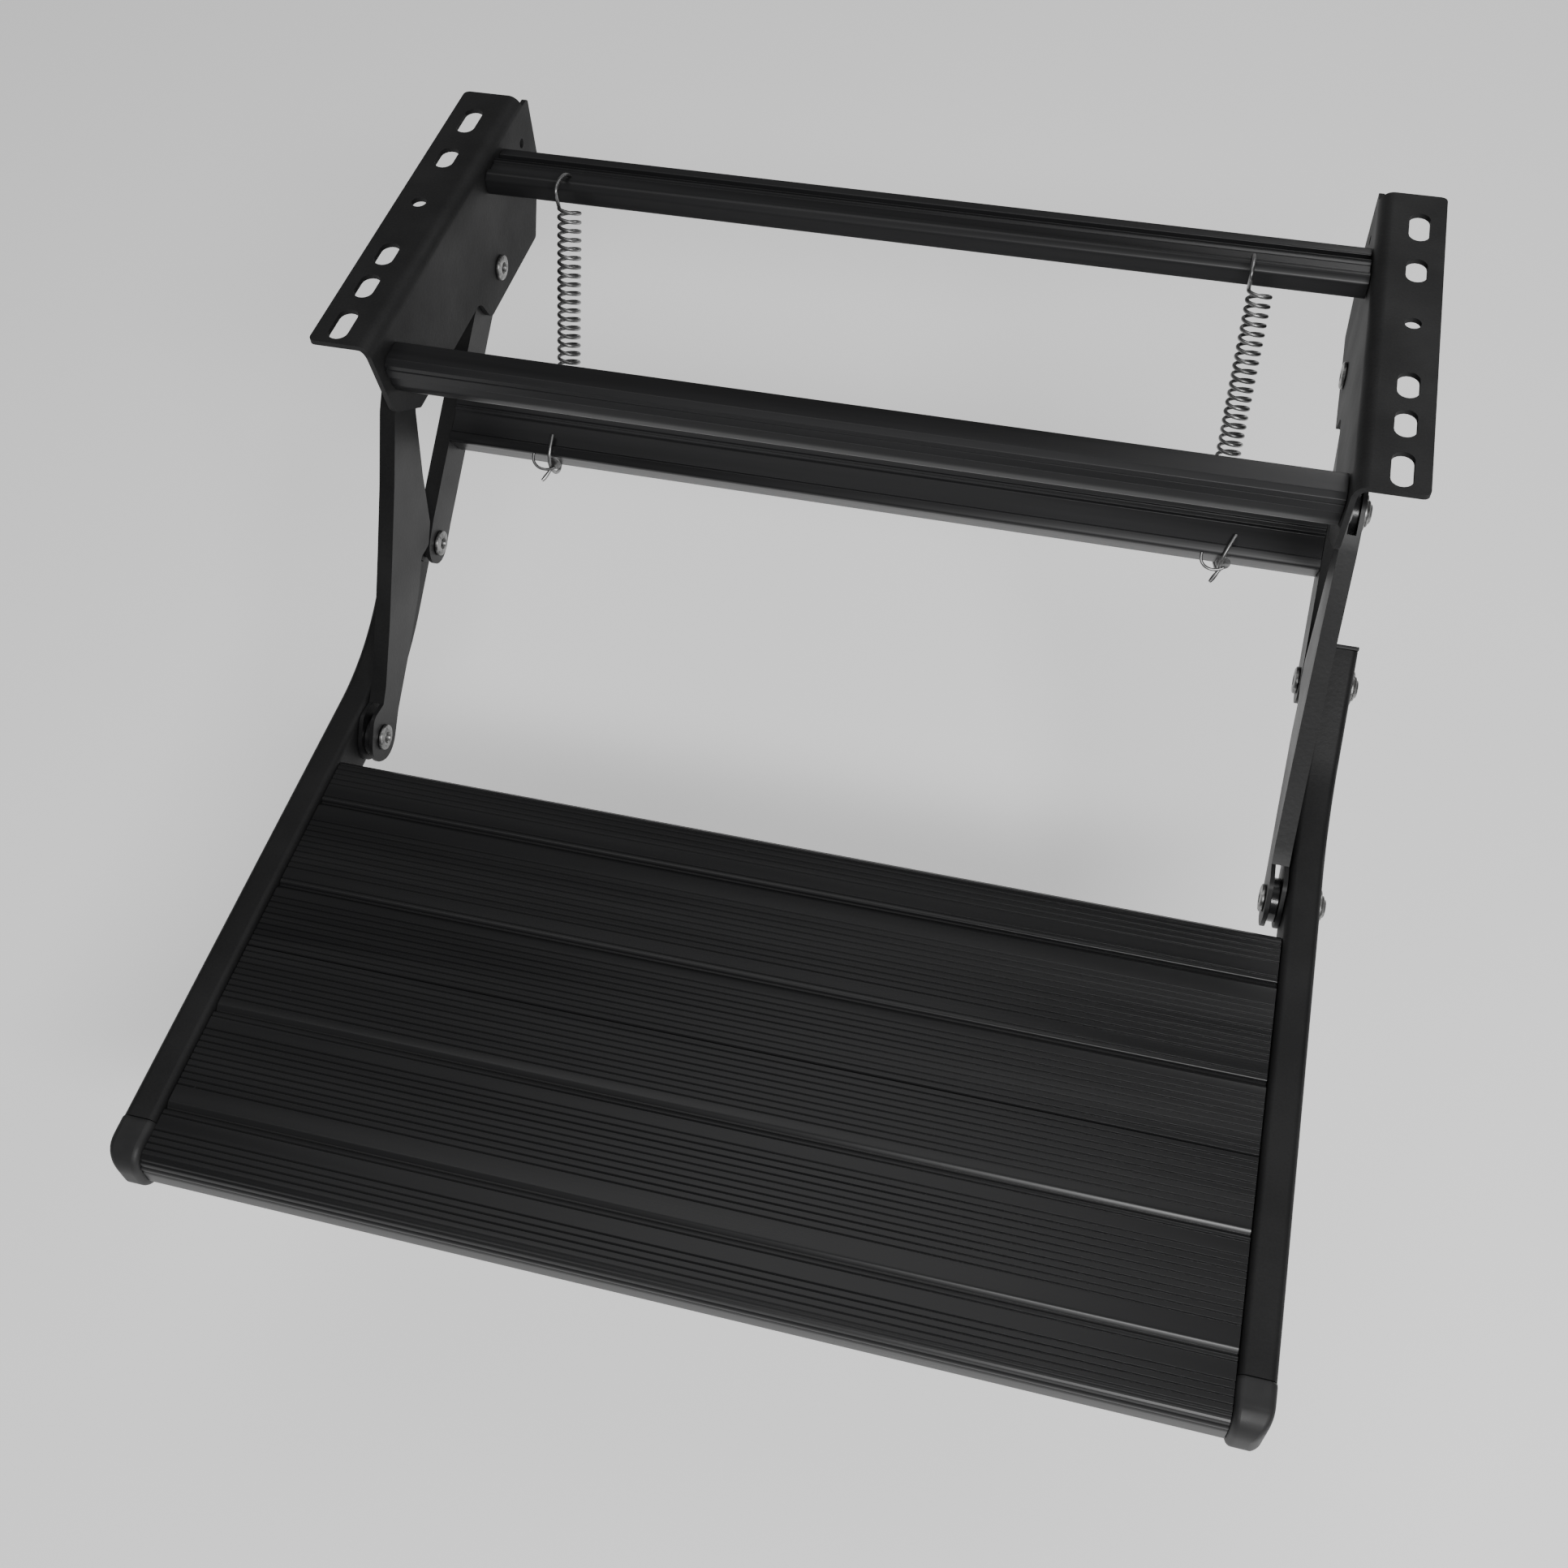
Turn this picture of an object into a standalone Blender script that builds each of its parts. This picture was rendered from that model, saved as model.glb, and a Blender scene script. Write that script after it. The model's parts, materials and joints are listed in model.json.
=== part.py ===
"""Fold-down entry step that hangs under a tailgate or door sill.

Two sheet-metal brackets bolt up under the vehicle. Two pairs of channel links swing the tread,
a ribbed two-plank board between cranked side rails, from its deployed place in front of the
brackets back to its stowed place underneath them. Two tension springs pull the links over centre.

Frame: X across the step, -Y towards the person who climbs it, Z up. The origin lies in the
plane of the bracket tops, midway between the brackets, level with the flanges' front edges.
Dimensions are millimetres, angles are degrees; meshes are built in metres through MM.
"""
import math

import bmesh
import bpy
from mathutils import Matrix, Vector

MM = 0.001
GAP = 0.3

# Brackets
PLATE_IN = 263.0
SHEET = 3.0
PLATE_OUT = PLATE_IN + SHEET
FLANGE_OUT = 300.0
FLANGE_LENGTH = 247.0
PLATE_BLANK = 110.0
BEND_RADIUS = 8.0
BEND_STEPS = 8
SLOT_X = 285.6
SLOT_WIDTH = 11.5
SLOTS = ((216.4, 25.5), (176.8, 20.5), (80.6, 20.5), (50.8, 21.0), (16.5, 25.5))
LOCATING_HOLE = (131.1, 4.5)
SPARE_HOLE = (236.7, -26.4, 3.0)

# Pivots, as (Y, Z)
FRONT_PIVOT = Vector((38.0, -53.0))
REAR_PIVOT = Vector((172.8, -74.1))
RAIL_PIVOT = Vector((19.8, -171.2))
TREAD_PIVOT = Vector((-101.8, -219.1))
SPRING_PIVOT = Vector((198.0, -16.0))
PIN_RADIUS = 4.0
PIN_HOLE = 4.4
HEAD_RADIUS = 8.0
HEAD_HEIGHT = 2.5
NUT_RADIUS = 7.2
NUT_HEIGHT = 2.8
REAR_HEAD_RECESS = 2.5
WASHER_RADIUS = 10.0
WASHER_THICK = 1.2
FRONT_BUSH_RADIUS = 12.5
REAR_BUSH_RADIUS = 10.5
SPACER_RADIUS = 7.0

# Link channels
LINK_IN = 266.4
LINK_OUT = 276.0
LINK_SHEET = 2.4

# Tread and rails
RAIL_IN = 276.6
RAIL_OUT = 295.0
RAIL_TOP = -200.0
RAIL_HEIGHT = 34.0
RAIL_CORNER = 4.0
RAIL_WALL = 2.0
RAIL_FRONT = -378.4
RAIL_BEND_ANGLE = 33.0
RAIL_TANGENT = 41.0
RAIL_BEND_STEPS = 9
RAIL_PAST_PIVOT = 19.0
PLUG_RIM = 2.3
SPIGOT_INSET = 3.2
SPIGOT_LENGTH = 10.0
CAP_NOSE = -405.0
PLANK_HALF_WIDTH = RAIL_IN - GAP
PLANK_TOP = -203.0
PLANK_THICK = 22.0
PLANK_FRONT = -402.0
PLANK_SEAM = -267.2
PLANK_SKIN = 2.2
SEAM_LINE_PITCH = 3.7
SEAM_LINES = 9
FIELD_START = -320.9
FIELD_PITCH = 3.77
FIELD_LINES = 10
NOSE_LINES_START = -381.9
NOSE_LINES_PITCH = 3.67
NOSE_LINES = 4
GROOVE_ENDS = (-313.1, -372.6)

# Crossbars and their screws
CROSSBAR_HALF = PLATE_IN - GAP
LINK_BAR_HALF = LINK_IN - GAP
SCREW_RADIUS = 2.5
SCREW_BORE = 3.0
SCREW_HEAD = 5.2
SCREW_HEAD_HEIGHT = 2.6
SCREW_GRIP = 20.0
REAR_BAR_SCREW = Vector((187.0, -16.2))
FRONT_BAR_SCREW = Vector((18.0, -37.0))
LINK_BAR_SCREW = (95.8, 1.7)
PLANK_SCREW_INSET = (30.0, 92.0)
PLANK_SCREW_Z = -217.0
SCREW_ACCESS = 6.5

# Springs
SPRING_X = 205.0
WIRE_RADIUS = 1.0
COIL_RADIUS = 6.5
COIL_TURNS = 22
COIL_STEPS = 6
COIL_TOP = Vector((170.0, -6.0))
COIL_FOOT = Vector((104.0, -150.0))
COIL_START = 12.0
COIL_END = 130.0
TAB_HALF_WIDTH = 6.0

BLACK_COAT = ((0.022, 0.022, 0.024, 1.0), 0.48, 0.0)
BLACK_ALUMINIUM = ((0.028, 0.028, 0.03, 1.0), 0.38, 0.0)
ZINC = ((0.42, 0.42, 0.42, 1.0), 0.35, 1.0)
BLACK_PLASTIC = ((0.03, 0.03, 0.032, 1.0), 0.55, 0.0)
SPRING_STEEL = ((0.3, 0.3, 0.31, 1.0), 0.35, 1.0)


def clear_scene():
    """Remove whatever objects the file opened with."""
    for thing in list(bpy.data.objects):
        bpy.data.objects.remove(thing, do_unlink=True)


def finish(name, look):
    """Principled material in one of the step's finishes, made once for each piece."""
    colour, roughness, metallic = look
    material = bpy.data.materials.new(name)
    material.use_nodes = True
    shader = material.node_tree.nodes["Principled BSDF"]
    shader.inputs["Base Color"].default_value = colour
    shader.inputs["Roughness"].default_value = roughness
    shader.inputs["Metallic"].default_value = metallic
    return material


def place(name, bm, look):
    """Turn a bmesh drawn in millimetres into a named object in metres."""
    bmesh.ops.recalc_face_normals(bm, faces=bm.faces)
    bmesh.ops.scale(bm, vec=(MM, MM, MM), verts=bm.verts)
    mesh = bpy.data.meshes.new(name)
    bm.to_mesh(mesh)
    bm.free()
    mesh.shade_smooth()
    mesh.set_sharp_from_angle(angle=math.radians(30))
    mesh.materials.append(finish(name, look))
    piece = bpy.data.objects.new(name, mesh)
    bpy.context.scene.collection.objects.link(piece)
    return piece


def rounded(corners, steps=4):
    """Outline through (a, b, radius) corners, with each corner turned by an arc of that radius."""
    points = []
    count = len(corners)
    for index, (a, b, radius) in enumerate(corners):
        corner = Vector((a, b))
        if radius == 0:
            points.append(corner)
            continue
        before = (Vector(corners[index - 1][:2]) - corner).normalized()
        after = (Vector(corners[(index + 1) % count][:2]) - corner).normalized()
        half = before.angle(after) / 2
        reach = radius / math.tan(half)
        centre = corner + (before + after).normalized() * radius / math.sin(half)
        start = corner + before * reach - centre
        end = corner + after * reach - centre
        sweep = start.angle_signed(end)
        for step in range(steps + 1):
            turn = Matrix.Rotation(-sweep * step / steps, 2)
            points.append(centre + turn @ start)
    return points


def circle(centre, radius, sides=20):
    """Outline of a round hole or disc."""
    turns = [2 * math.pi * (step + 0.5) / sides for step in range(sides)]
    return [Vector((centre[0] + radius * math.cos(t), centre[1] + radius * math.sin(t))) for t in turns]


def obround(centre, length, width, steps=9):
    """Outline of a slot that runs along the second axis."""
    radius = width / 2
    points = []
    for end, first in ((1, 0.0), (-1, math.pi)):
        middle = Vector((centre[0], centre[1] + end * (length / 2 - radius)))
        for step in range(steps + 1):
            turn = first + math.pi * step / steps
            points.append(middle + radius * Vector((math.cos(turn), math.sin(turn))))
    return points


def prism(name, outline, axis, low, high, look=BLACK_COAT):
    """Outline in the plane across an axis, extruded along that axis from low to high."""
    spread = {"X": lambda p, d: (d, p[0], p[1]),
              "Y": lambda p, d: (p[0], d, p[1]),
              "Z": lambda p, d: (p[0], p[1], d)}[axis]
    bm = bmesh.new()
    face = bm.faces.new([bm.verts.new(spread(point, low)) for point in outline])
    pushed = bmesh.ops.extrude_face_region(bm, geom=[face])["geom"]
    ends = [item for item in pushed if isinstance(item, bmesh.types.BMVert)]
    bmesh.ops.translate(bm, verts=ends, vec=Vector(spread((0, 0), high - low)))
    return place(name, bm, look)


def turned(name, profile, pivot, look=ZINC, sides=16):
    """Lathe work about a line along X: profile of (X, radius) from axis to axis, or closed if bored."""
    centre = Vector((0, pivot[0], pivot[1]))
    bm = bmesh.new()
    rim = [bm.verts.new(centre + Vector((x, radius, 0))) for x, radius in profile]
    edges = [bm.edges.new(pair) for pair in zip(rim, rim[1:])]
    if profile[0][1] > 0:
        edges.append(bm.edges.new((rim[-1], rim[0])))
    bmesh.ops.spin(bm, geom=rim + edges, cent=centre, axis=(1, 0, 0), angle=2 * math.pi,
                   steps=sides, use_merge=True, dvec=(0, 0, 0))
    bmesh.ops.remove_doubles(bm, verts=bm.verts, dist=GAP / 10)
    return place(name, bm, look)


def combine(body, tool, operation):
    """Apply one exact Boolean of the tool to the body, then take the tool away."""
    modifier = body.modifiers.new(operation.title(), "BOOLEAN")
    modifier.operation = operation
    modifier.object = tool
    bpy.context.view_layer.update()
    shaped = body.evaluated_get(bpy.context.evaluated_depsgraph_get())
    mesh = bpy.data.meshes.new_from_object(shaped)
    body.modifiers.clear()
    body.data = mesh
    bpy.data.objects.remove(tool, do_unlink=True)
    return body


def mirrored(piece, name):
    """Left-hand copy of a right-hand piece."""
    mesh = piece.data.copy()
    mesh.transform(Matrix.Scale(-1, 4, (1, 0, 0)))
    mesh.flip_normals()
    mesh.materials[0] = mesh.materials[0].copy()
    mesh.materials[0].name = name
    twin = bpy.data.objects.new(name, mesh)
    bpy.context.scene.collection.objects.link(twin)
    return twin


def both_sides(stem, piece):
    """Name the right-hand piece and make its left-hand twin."""
    piece.name = stem + "_right"
    return [piece, mirrored(piece, stem + "_left")]


def axis_empty(name, pivot, parent=None):
    """Empty on a hinge line, which the pieces that turn about that line hang from."""
    empty = bpy.data.objects.new(name, None)
    bpy.context.scene.collection.objects.link(empty)
    spot = Vector((0, pivot[0], pivot[1])) * MM
    if parent:
        empty.parent = parent
        spot = spot - Vector(parent["spot"])
    empty.location = spot
    empty["spot"] = (0, pivot[0] * MM, pivot[1] * MM)
    return empty


def hang(pieces, empty):
    """Give each piece its origin on the empty's hinge line."""
    for piece in pieces:
        piece.data.transform(Matrix.Translation(-Vector(empty["spot"])))
        piece.parent = empty


def along(start, end):
    """Map of (distance, offset to the front) from one pivot towards the next to (Y, Z)."""
    run = (end - start).normalized()
    side = Vector((run[1], -run[0]))
    return lambda s, w: start + run * s + side * w


# ---------------------------------------------------------------- brackets

def bracket():
    """Right-hand bracket: a bent flange on a side plate, slotted for the vehicle's bolts."""
    bend = Vector((PLATE_IN + BEND_RADIUS, -BEND_RADIUS))
    inner = BEND_RADIUS - SHEET
    quarter = [math.pi - math.pi / 2 * step / BEND_STEPS for step in range(BEND_STEPS + 1)]
    outer_arc = [bend + BEND_RADIUS * Vector((math.cos(t), math.sin(t))) for t in quarter]
    inner_arc = [bend + inner * Vector((math.cos(t), math.sin(t))) for t in reversed(quarter)]
    flange_edge = [Vector((FLANGE_OUT, 0)), Vector((FLANGE_OUT, -SHEET))]
    plate_inside = [Vector((PLATE_IN, -PLATE_BLANK))]
    plate_outside = [Vector((PLATE_OUT, -PLATE_BLANK))]
    section = plate_inside + outer_arc + flange_edge + inner_arc + plate_outside
    body = prism("bracket_right", section, "Y", -10, 270)
    side_view = rounded((
        (0, 6, 0), (FLANGE_LENGTH, 6, 0), (FLANGE_LENGTH, -7, 2), (257, -7, 3), (257, -48, 8),
        (232.4, -93.6, 3), (147, -93.6, 7), (136, -73.8, 9), (36, -73, 5), (7, -52, 14), (-1, -6, 6),
        (0, -3, 0)), 6)
    combine(body, prism("side_view", side_view, "X", PLATE_IN - 9, FLANGE_OUT + 9), "INTERSECT")
    plan_view = rounded((
        (PLATE_IN - 9, -5, 0), (PLATE_OUT + 3, -5, 0), (PLATE_OUT + 3, 0, 0), (FLANGE_OUT, 0, 3.5),
        (FLANGE_OUT, FLANGE_LENGTH, 3.5), (PLATE_OUT + 3, FLANGE_LENGTH, 0), (PLATE_OUT + 3, 265, 0),
        (PLATE_IN - 9, 265, 0)))
    combine(body, prism("plan_view", plan_view, "Z", -120, 10), "INTERSECT")
    for middle, length in SLOTS:
        slot = obround((SLOT_X, middle), length, SLOT_WIDTH)
        combine(body, prism("slot", slot, "Z", -SHEET - 2, 2), "DIFFERENCE")
    hole = circle((SLOT_X, LOCATING_HOLE[0]), LOCATING_HOLE[1])
    combine(body, prism("hole", hole, "Z", -SHEET - 2, 2), "DIFFERENCE")
    plate_holes = ((FRONT_PIVOT, PIN_HOLE), (REAR_PIVOT, PIN_HOLE), (FRONT_BAR_SCREW, SCREW_BORE),
                   (REAR_BAR_SCREW, SCREW_BORE), (SPARE_HOLE[:2], SPARE_HOLE[2]))
    for spot, radius in plate_holes:
        drill(body, spot, radius, PLATE_IN - 2, PLATE_OUT + 2)
    return body


def drill(body, spot, radius, low, high, sides=20):
    """Bore a round hole along X."""
    combine(body, prism("drill", circle(spot, radius, sides), "X", low, high), "DIFFERENCE")


# ---------------------------------------------------------------- crossbars

def rear_crossbar():
    """Flat aluminium bar under the flanges, with the groove that takes the springs' top hooks."""
    outline = rounded((
        (209, -11.5, 1), (202.2, -11.5, 0.6), (201.7, -19.5, 1), (195.6, -19.5, 1), (195.3, -9.4, 0.5),
        (194.5, -9.4, 0.3), (194.2, -10.6, 0), (193.6, -10.6, 0), (193.3, -9.4, 0.3), (192.3, -9.6, 0.4),
        (191.6, -10.9, 0), (184.2, -11.4, 0.8), (183, -9.2, 0.8), (179.5, -9, 3), (176, -12.5, 3),
        (176, -23, 2), (209, -23, 2)), 2)
    body = prism("rear_crossbar", outline, "X", -CROSSBAR_HALF, CROSSBAR_HALF, BLACK_ALUMINIUM)
    return bore_ends(body, REAR_BAR_SCREW, CROSSBAR_HALF)


def front_crossbar():
    """Box-like aluminium bar between the plates' front corners."""
    outline = rounded((
        (27.8, -17, 1), (12.8, -17, 1), (9.4, -19.4, 1), (9.4, -22.2, 0), (10.3, -22.7, 0), (9.4, -23.2, 0),
        (9.4, -28.4, 0.5), (11.4, -29, 0.5), (12, -36, 8), (15.5, -43.8, 4.5), (27.8, -43.8, 3)), 3)
    body = prism("front_crossbar", outline, "X", -CROSSBAR_HALF, CROSSBAR_HALF, BLACK_ALUMINIUM)
    chamber = rounded(((12.4, -19.4, 1), (25.4, -19.4, 1), (25.4, -30.5, 1), (14, -30.5, 1)), 1)
    combine(body, prism("chamber", chamber, "X", -CROSSBAR_HALF - 2, CROSSBAR_HALF + 2), "DIFFERENCE")
    return bore_ends(body, FRONT_BAR_SCREW, CROSSBAR_HALF)


def link_crossbar():
    """Bar that ties the two rear links together and takes the springs' lower hooks."""
    at = along(REAR_PIVOT, RAIL_PIVOT)
    outline = rounded([(*at(s, w), r) for s, w, r in (
        (88.5, -5.5, 2), (88.5, 12.5, 3), (93, 18.8, 1), (95.6, 18.8, 0.4), (96, 17.6, 0), (97.2, 17.6, 0),
        (97.6, 18.8, 0.4), (99, 18.8, 0.4), (100, 17.0, 0.6), (112.6, 17.0, 0.6), (113.6, 18.6, 0.6),
        (119.5, 18.0, 2.4), (119.5, -5.5, 3))], 2)
    body = prism("link_crossbar", outline, "X", -LINK_BAR_HALF, LINK_BAR_HALF, BLACK_ALUMINIUM)
    chamber = [at(s, w) for s, w in ((102.5, 15), (117, 15.5), (117, -3), (102.5, -3))]
    combine(body, prism("chamber", chamber, "X", -LINK_BAR_HALF - 2, LINK_BAR_HALF + 2), "DIFFERENCE")
    return bore_ends(body, at(*LINK_BAR_SCREW), LINK_BAR_HALF)


def bore_ends(body, spot, half_length):
    """Screw bores in both ends of a crossbar."""
    depth = SCREW_GRIP + 4
    drill(body, spot, SCREW_BORE, half_length - depth, half_length + 2)
    drill(body, spot, SCREW_BORE, -half_length - 2, depth - half_length)
    return body


# ---------------------------------------------------------------- links

def channel(name, outline, opening, pivots):
    """Folded channel link: the outline across the full width, with the space between its webs cut out."""
    body = prism(name, outline, "X", LINK_IN, LINK_OUT)
    space = prism("space", opening, "X", LINK_IN + LINK_SHEET, LINK_OUT - LINK_SHEET)
    combine(body, space, "DIFFERENCE")
    for spot, radius in pivots:
        drill(body, spot, radius, LINK_IN - 2, LINK_OUT + 2)
    return body


def front_link():
    """Front link: wide web with a gusset whose lower corner meets the rear link when deployed."""
    at = along(FRONT_PIVOT, TREAD_PIVOT)
    edge = ((20, 17.0), (63, 10.6), (107, 6.3), (147, 3.0), (185, 2.0), (196, 3.5))
    outline = rounded([(*at(s, w), r) for s, w, r in (
        (-15, 0, 0), (-15, 15.5, 14), *((s, w, 0) for s, w in edge), (203, 15.5, 8), (232.6, 15.5, 14.8),
        (232.6, -15.5, 14.8), (203, -18.8, 3), (171, -27.5, 4), (129, -36.6, 6), (109, -36.0, 4),
        (102, -45.6, 3), (88, -45.2, 4), (58, -29, 4), (18, -10.9, 5), (8, -15, 6), (-15, -15, 14))], 6)
    opening = [at(s, w) for s, w in ((-30, 30), (11, 30), (11, edge[0][1] - LINK_SHEET + 1.0))]
    opening += [at(s, w - LINK_SHEET) for s, w in edge[:-1]]
    opening += [at(s, w) for s, w in ((196, 2.0), (196, 30), (250, 30), (250, -60), (-30, -60))]
    return channel("front_link_right", outline, opening, ((FRONT_PIVOT, PIN_HOLE), (TREAD_PIVOT, PIN_HOLE)))


def rear_link():
    """Rear link: straight channel that also carries the link crossbar."""
    at = along(REAR_PIVOT, RAIL_PIVOT)
    length = (RAIL_PIVOT - REAR_PIVOT).length
    outline = rounded([(*at(s, w), r) for s, w, r in (
        (-13.5, 13.5, 13), (14, 16.3, 6), (length - 11, 16.3, 4), (length + 13.5, 13.5, 13),
        (length + 13.5, -13.5, 13), (length - 14, -11.5, 6), (14, -11.5, 6), (-13.5, -13.5, 13))], 6)
    opening = [at(s, w) for s, w in (
        (-30, 30), (10, 30), (10, 16.3 - LINK_SHEET), (length - 11, 16.3 - LINK_SHEET), (length - 11, 30),
        (length + 30, 30), (length + 30, -30), (-30, -30))]
    screw = at(*LINK_BAR_SCREW)
    return channel("rear_link_right", outline, opening,
                   ((REAR_PIVOT, PIN_HOLE), (RAIL_PIVOT, PIN_HOLE), (screw, SCREW_BORE)))


# ---------------------------------------------------------------- pins, washers and screws

def pin(spot, inner, outer, recess=0.0):
    """Rivet: flat inner head, shank, and a riveted-over outer head; inner and outer bound the stack."""
    head = inner - GAP
    start = [(head - HEAD_HEIGHT, 0)]
    if recess:
        start = [(head - HEAD_HEIGHT / 2, 0), (head - HEAD_HEIGHT / 2, recess), (head - HEAD_HEIGHT, recess)]
    profile = start + [
        (head - HEAD_HEIGHT, HEAD_RADIUS - 0.8), (head - HEAD_HEIGHT + 0.8, HEAD_RADIUS), (head, HEAD_RADIUS),
        (head, PIN_RADIUS), (outer + GAP, PIN_RADIUS), (outer + GAP, NUT_RADIUS),
        (outer + GAP + NUT_HEIGHT - 1, NUT_RADIUS), (outer + GAP + NUT_HEIGHT, NUT_RADIUS - 1.4),
        (outer + GAP + NUT_HEIGHT, 0)]
    return turned("pin", profile, spot)


def stub_pin(spot):
    """Inner half of the rear link's pin: head against the inner web, end flush with the outer web."""
    head = LINK_IN - GAP
    return turned("stub_pin", [
        (head - HEAD_HEIGHT, 0), (head - HEAD_HEIGHT, HEAD_RADIUS - 0.8),
        (head - HEAD_HEIGHT + 0.8, HEAD_RADIUS), (head, HEAD_RADIUS), (head, PIN_RADIUS),
        (LINK_OUT, PIN_RADIUS), (LINK_OUT, 0)], spot)


def cap_pin(spot):
    """Outer half of the rear link's pin: riveted-over head outside the rail, shank through it."""
    face = RAIL_OUT + GAP + WASHER_THICK + GAP
    return turned("cap_pin", [
        (RAIL_IN + GAP, 0), (RAIL_IN + GAP, PIN_RADIUS), (face, PIN_RADIUS), (face, NUT_RADIUS),
        (face + NUT_HEIGHT - 1, NUT_RADIUS), (face + NUT_HEIGHT, NUT_RADIUS - 1.4),
        (face + NUT_HEIGHT, 0)], spot)


def ring(spot, low, high, outer, look=ZINC):
    """Washer or bush with the pins' running bore."""
    return turned("ring", [(low, PIN_HOLE), (high, PIN_HOLE), (high, outer), (low, outer)], spot, look)


def screw(spot, face):
    """Round-head screw driven inwards along X from the face that its head sits on."""
    seat = face + GAP
    return turned("screw", [
        (seat - GAP - SCREW_GRIP, 0), (seat - GAP - SCREW_GRIP, SCREW_RADIUS), (seat, SCREW_RADIUS),
        (seat, SCREW_HEAD), (seat + 1.2, SCREW_HEAD), (seat + 2.2, SCREW_HEAD * 0.72),
        (seat + SCREW_HEAD_HEIGHT, 0)], spot, ZINC, 8)


# ---------------------------------------------------------------- rails and tread

def rail_line():
    """Where the rail's centre line starts to bend, and its bend radius, so that it runs through the pivot."""
    level = RAIL_TOP - RAIL_HEIGHT / 2
    slope = math.radians(RAIL_BEND_ANGLE)
    crossing = RAIL_PIVOT[0] - (RAIL_PIVOT[1] - level) / math.tan(slope)
    return level, slope, crossing, RAIL_TANGENT


def rail_bar(name, inset, overrun, look=BLACK_ALUMINIUM):
    """The rail's section, inset from its skin, drawn along the rail: level run, bend and rising end."""
    level, slope, crossing, tangent = rail_line()
    radius = tangent / math.tan(slope / 2)
    half = RAIL_HEIGHT / 2 - inset
    corner = RAIL_CORNER - inset
    corner_steps = 1 if inset else 3
    section = rounded(((RAIL_IN + inset, level - half, corner), (RAIL_OUT - inset, level - half, corner),
                       (RAIL_OUT - inset, level + half, corner), (RAIL_IN + inset, level + half, corner)),
                      corner_steps)
    rise = (RAIL_PIVOT - Vector((crossing, level))).length - tangent + RAIL_PAST_PIVOT + overrun
    bm = bmesh.new()
    front = bm.faces.new([bm.verts.new((x, RAIL_FRONT - overrun, z)) for x, z in section])
    faces = push(bm, [front], Vector((0, crossing - tangent - RAIL_FRONT + overrun, 0)))
    pivot = Vector((0, crossing - tangent, level + radius))
    for step in range(RAIL_BEND_STEPS):
        faces = push(bm, faces, Vector((0, 0, 0)))
        bmesh.ops.rotate(bm, verts=list({corner for face in faces for corner in face.verts}), cent=pivot,
                         matrix=Matrix.Rotation(slope / RAIL_BEND_STEPS, 3, "X"))
    push(bm, faces, Vector((0, math.cos(slope), math.sin(slope))) * rise)
    return place(name, bm, look)


def push(bm, faces, move):
    """Extrude end faces by a vector, take the old ones out of the solid, and give the new end faces."""
    inside = [face for face in faces if len(face.edges[0].link_faces) > 1]
    pushed = bmesh.ops.extrude_face_region(bm, geom=faces)["geom"]
    ends = [item for item in pushed if isinstance(item, bmesh.types.BMVert)]
    bmesh.ops.translate(bm, verts=ends, vec=move)
    bmesh.ops.delete(bm, geom=inside, context="FACES_ONLY")
    return [item for item in pushed if isinstance(item, bmesh.types.BMFace)]


def plank_screw_places():
    """(Y, Z) of the screws that hold the planks between the rails."""
    spots = []
    for inset in PLANK_SCREW_INSET:
        spots.append(Vector((PLANK_SEAM - inset, PLANK_SCREW_Z)))
        spots.append(Vector((PLANK_SEAM + inset, PLANK_SCREW_Z)))
    return spots


def rail():
    """Cranked side rail tube, bored for the pivots and the plank screws."""
    body = rail_bar("rail_right", 0.0, 0.0)
    combine(body, rail_bar("core", RAIL_WALL, 3.0), "DIFFERENCE")
    for spot in (RAIL_PIVOT, TREAD_PIVOT):
        drill(body, spot, PIN_HOLE, RAIL_IN - 2, RAIL_OUT + 2)
    for spot in plank_screw_places():
        drill(body, spot, SCREW_BORE, RAIL_IN - 2, RAIL_IN + RAIL_WALL + 1, 8)
        drill(body, spot, SCREW_ACCESS, RAIL_OUT - RAIL_WALL - 1, RAIL_OUT + 2)
    return body


def end_plug():
    """Moulded plug in the rail's rear end: a rim plate and a spigot that fills the tube's mouth."""
    level, slope, crossing, tangent = rail_line()
    run = Vector((math.cos(slope), math.sin(slope)))
    up = Vector((-run[1], run[0]))
    mouth = RAIL_PIVOT + run * (RAIL_PAST_PIVOT + GAP)
    half = RAIL_HEIGHT / 2
    rim = [mouth + run * d + up * h for d, h in ((0, -half), (PLUG_RIM, -half), (PLUG_RIM, half), (0, half))]
    body = prism("rail_end_plug_right", rim, "X", RAIL_IN, RAIL_OUT, BLACK_PLASTIC)
    inner = half - SPIGOT_INSET
    spigot = [mouth + run * d + up * h for d, h in (
        (-SPIGOT_LENGTH, -inner), (1, -inner), (1, inner), (-SPIGOT_LENGTH, inner))]
    combine(body, prism("spigot", spigot, "X", RAIL_IN + SPIGOT_INSET, RAIL_OUT - SPIGOT_INSET), "UNION")
    return body


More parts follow.
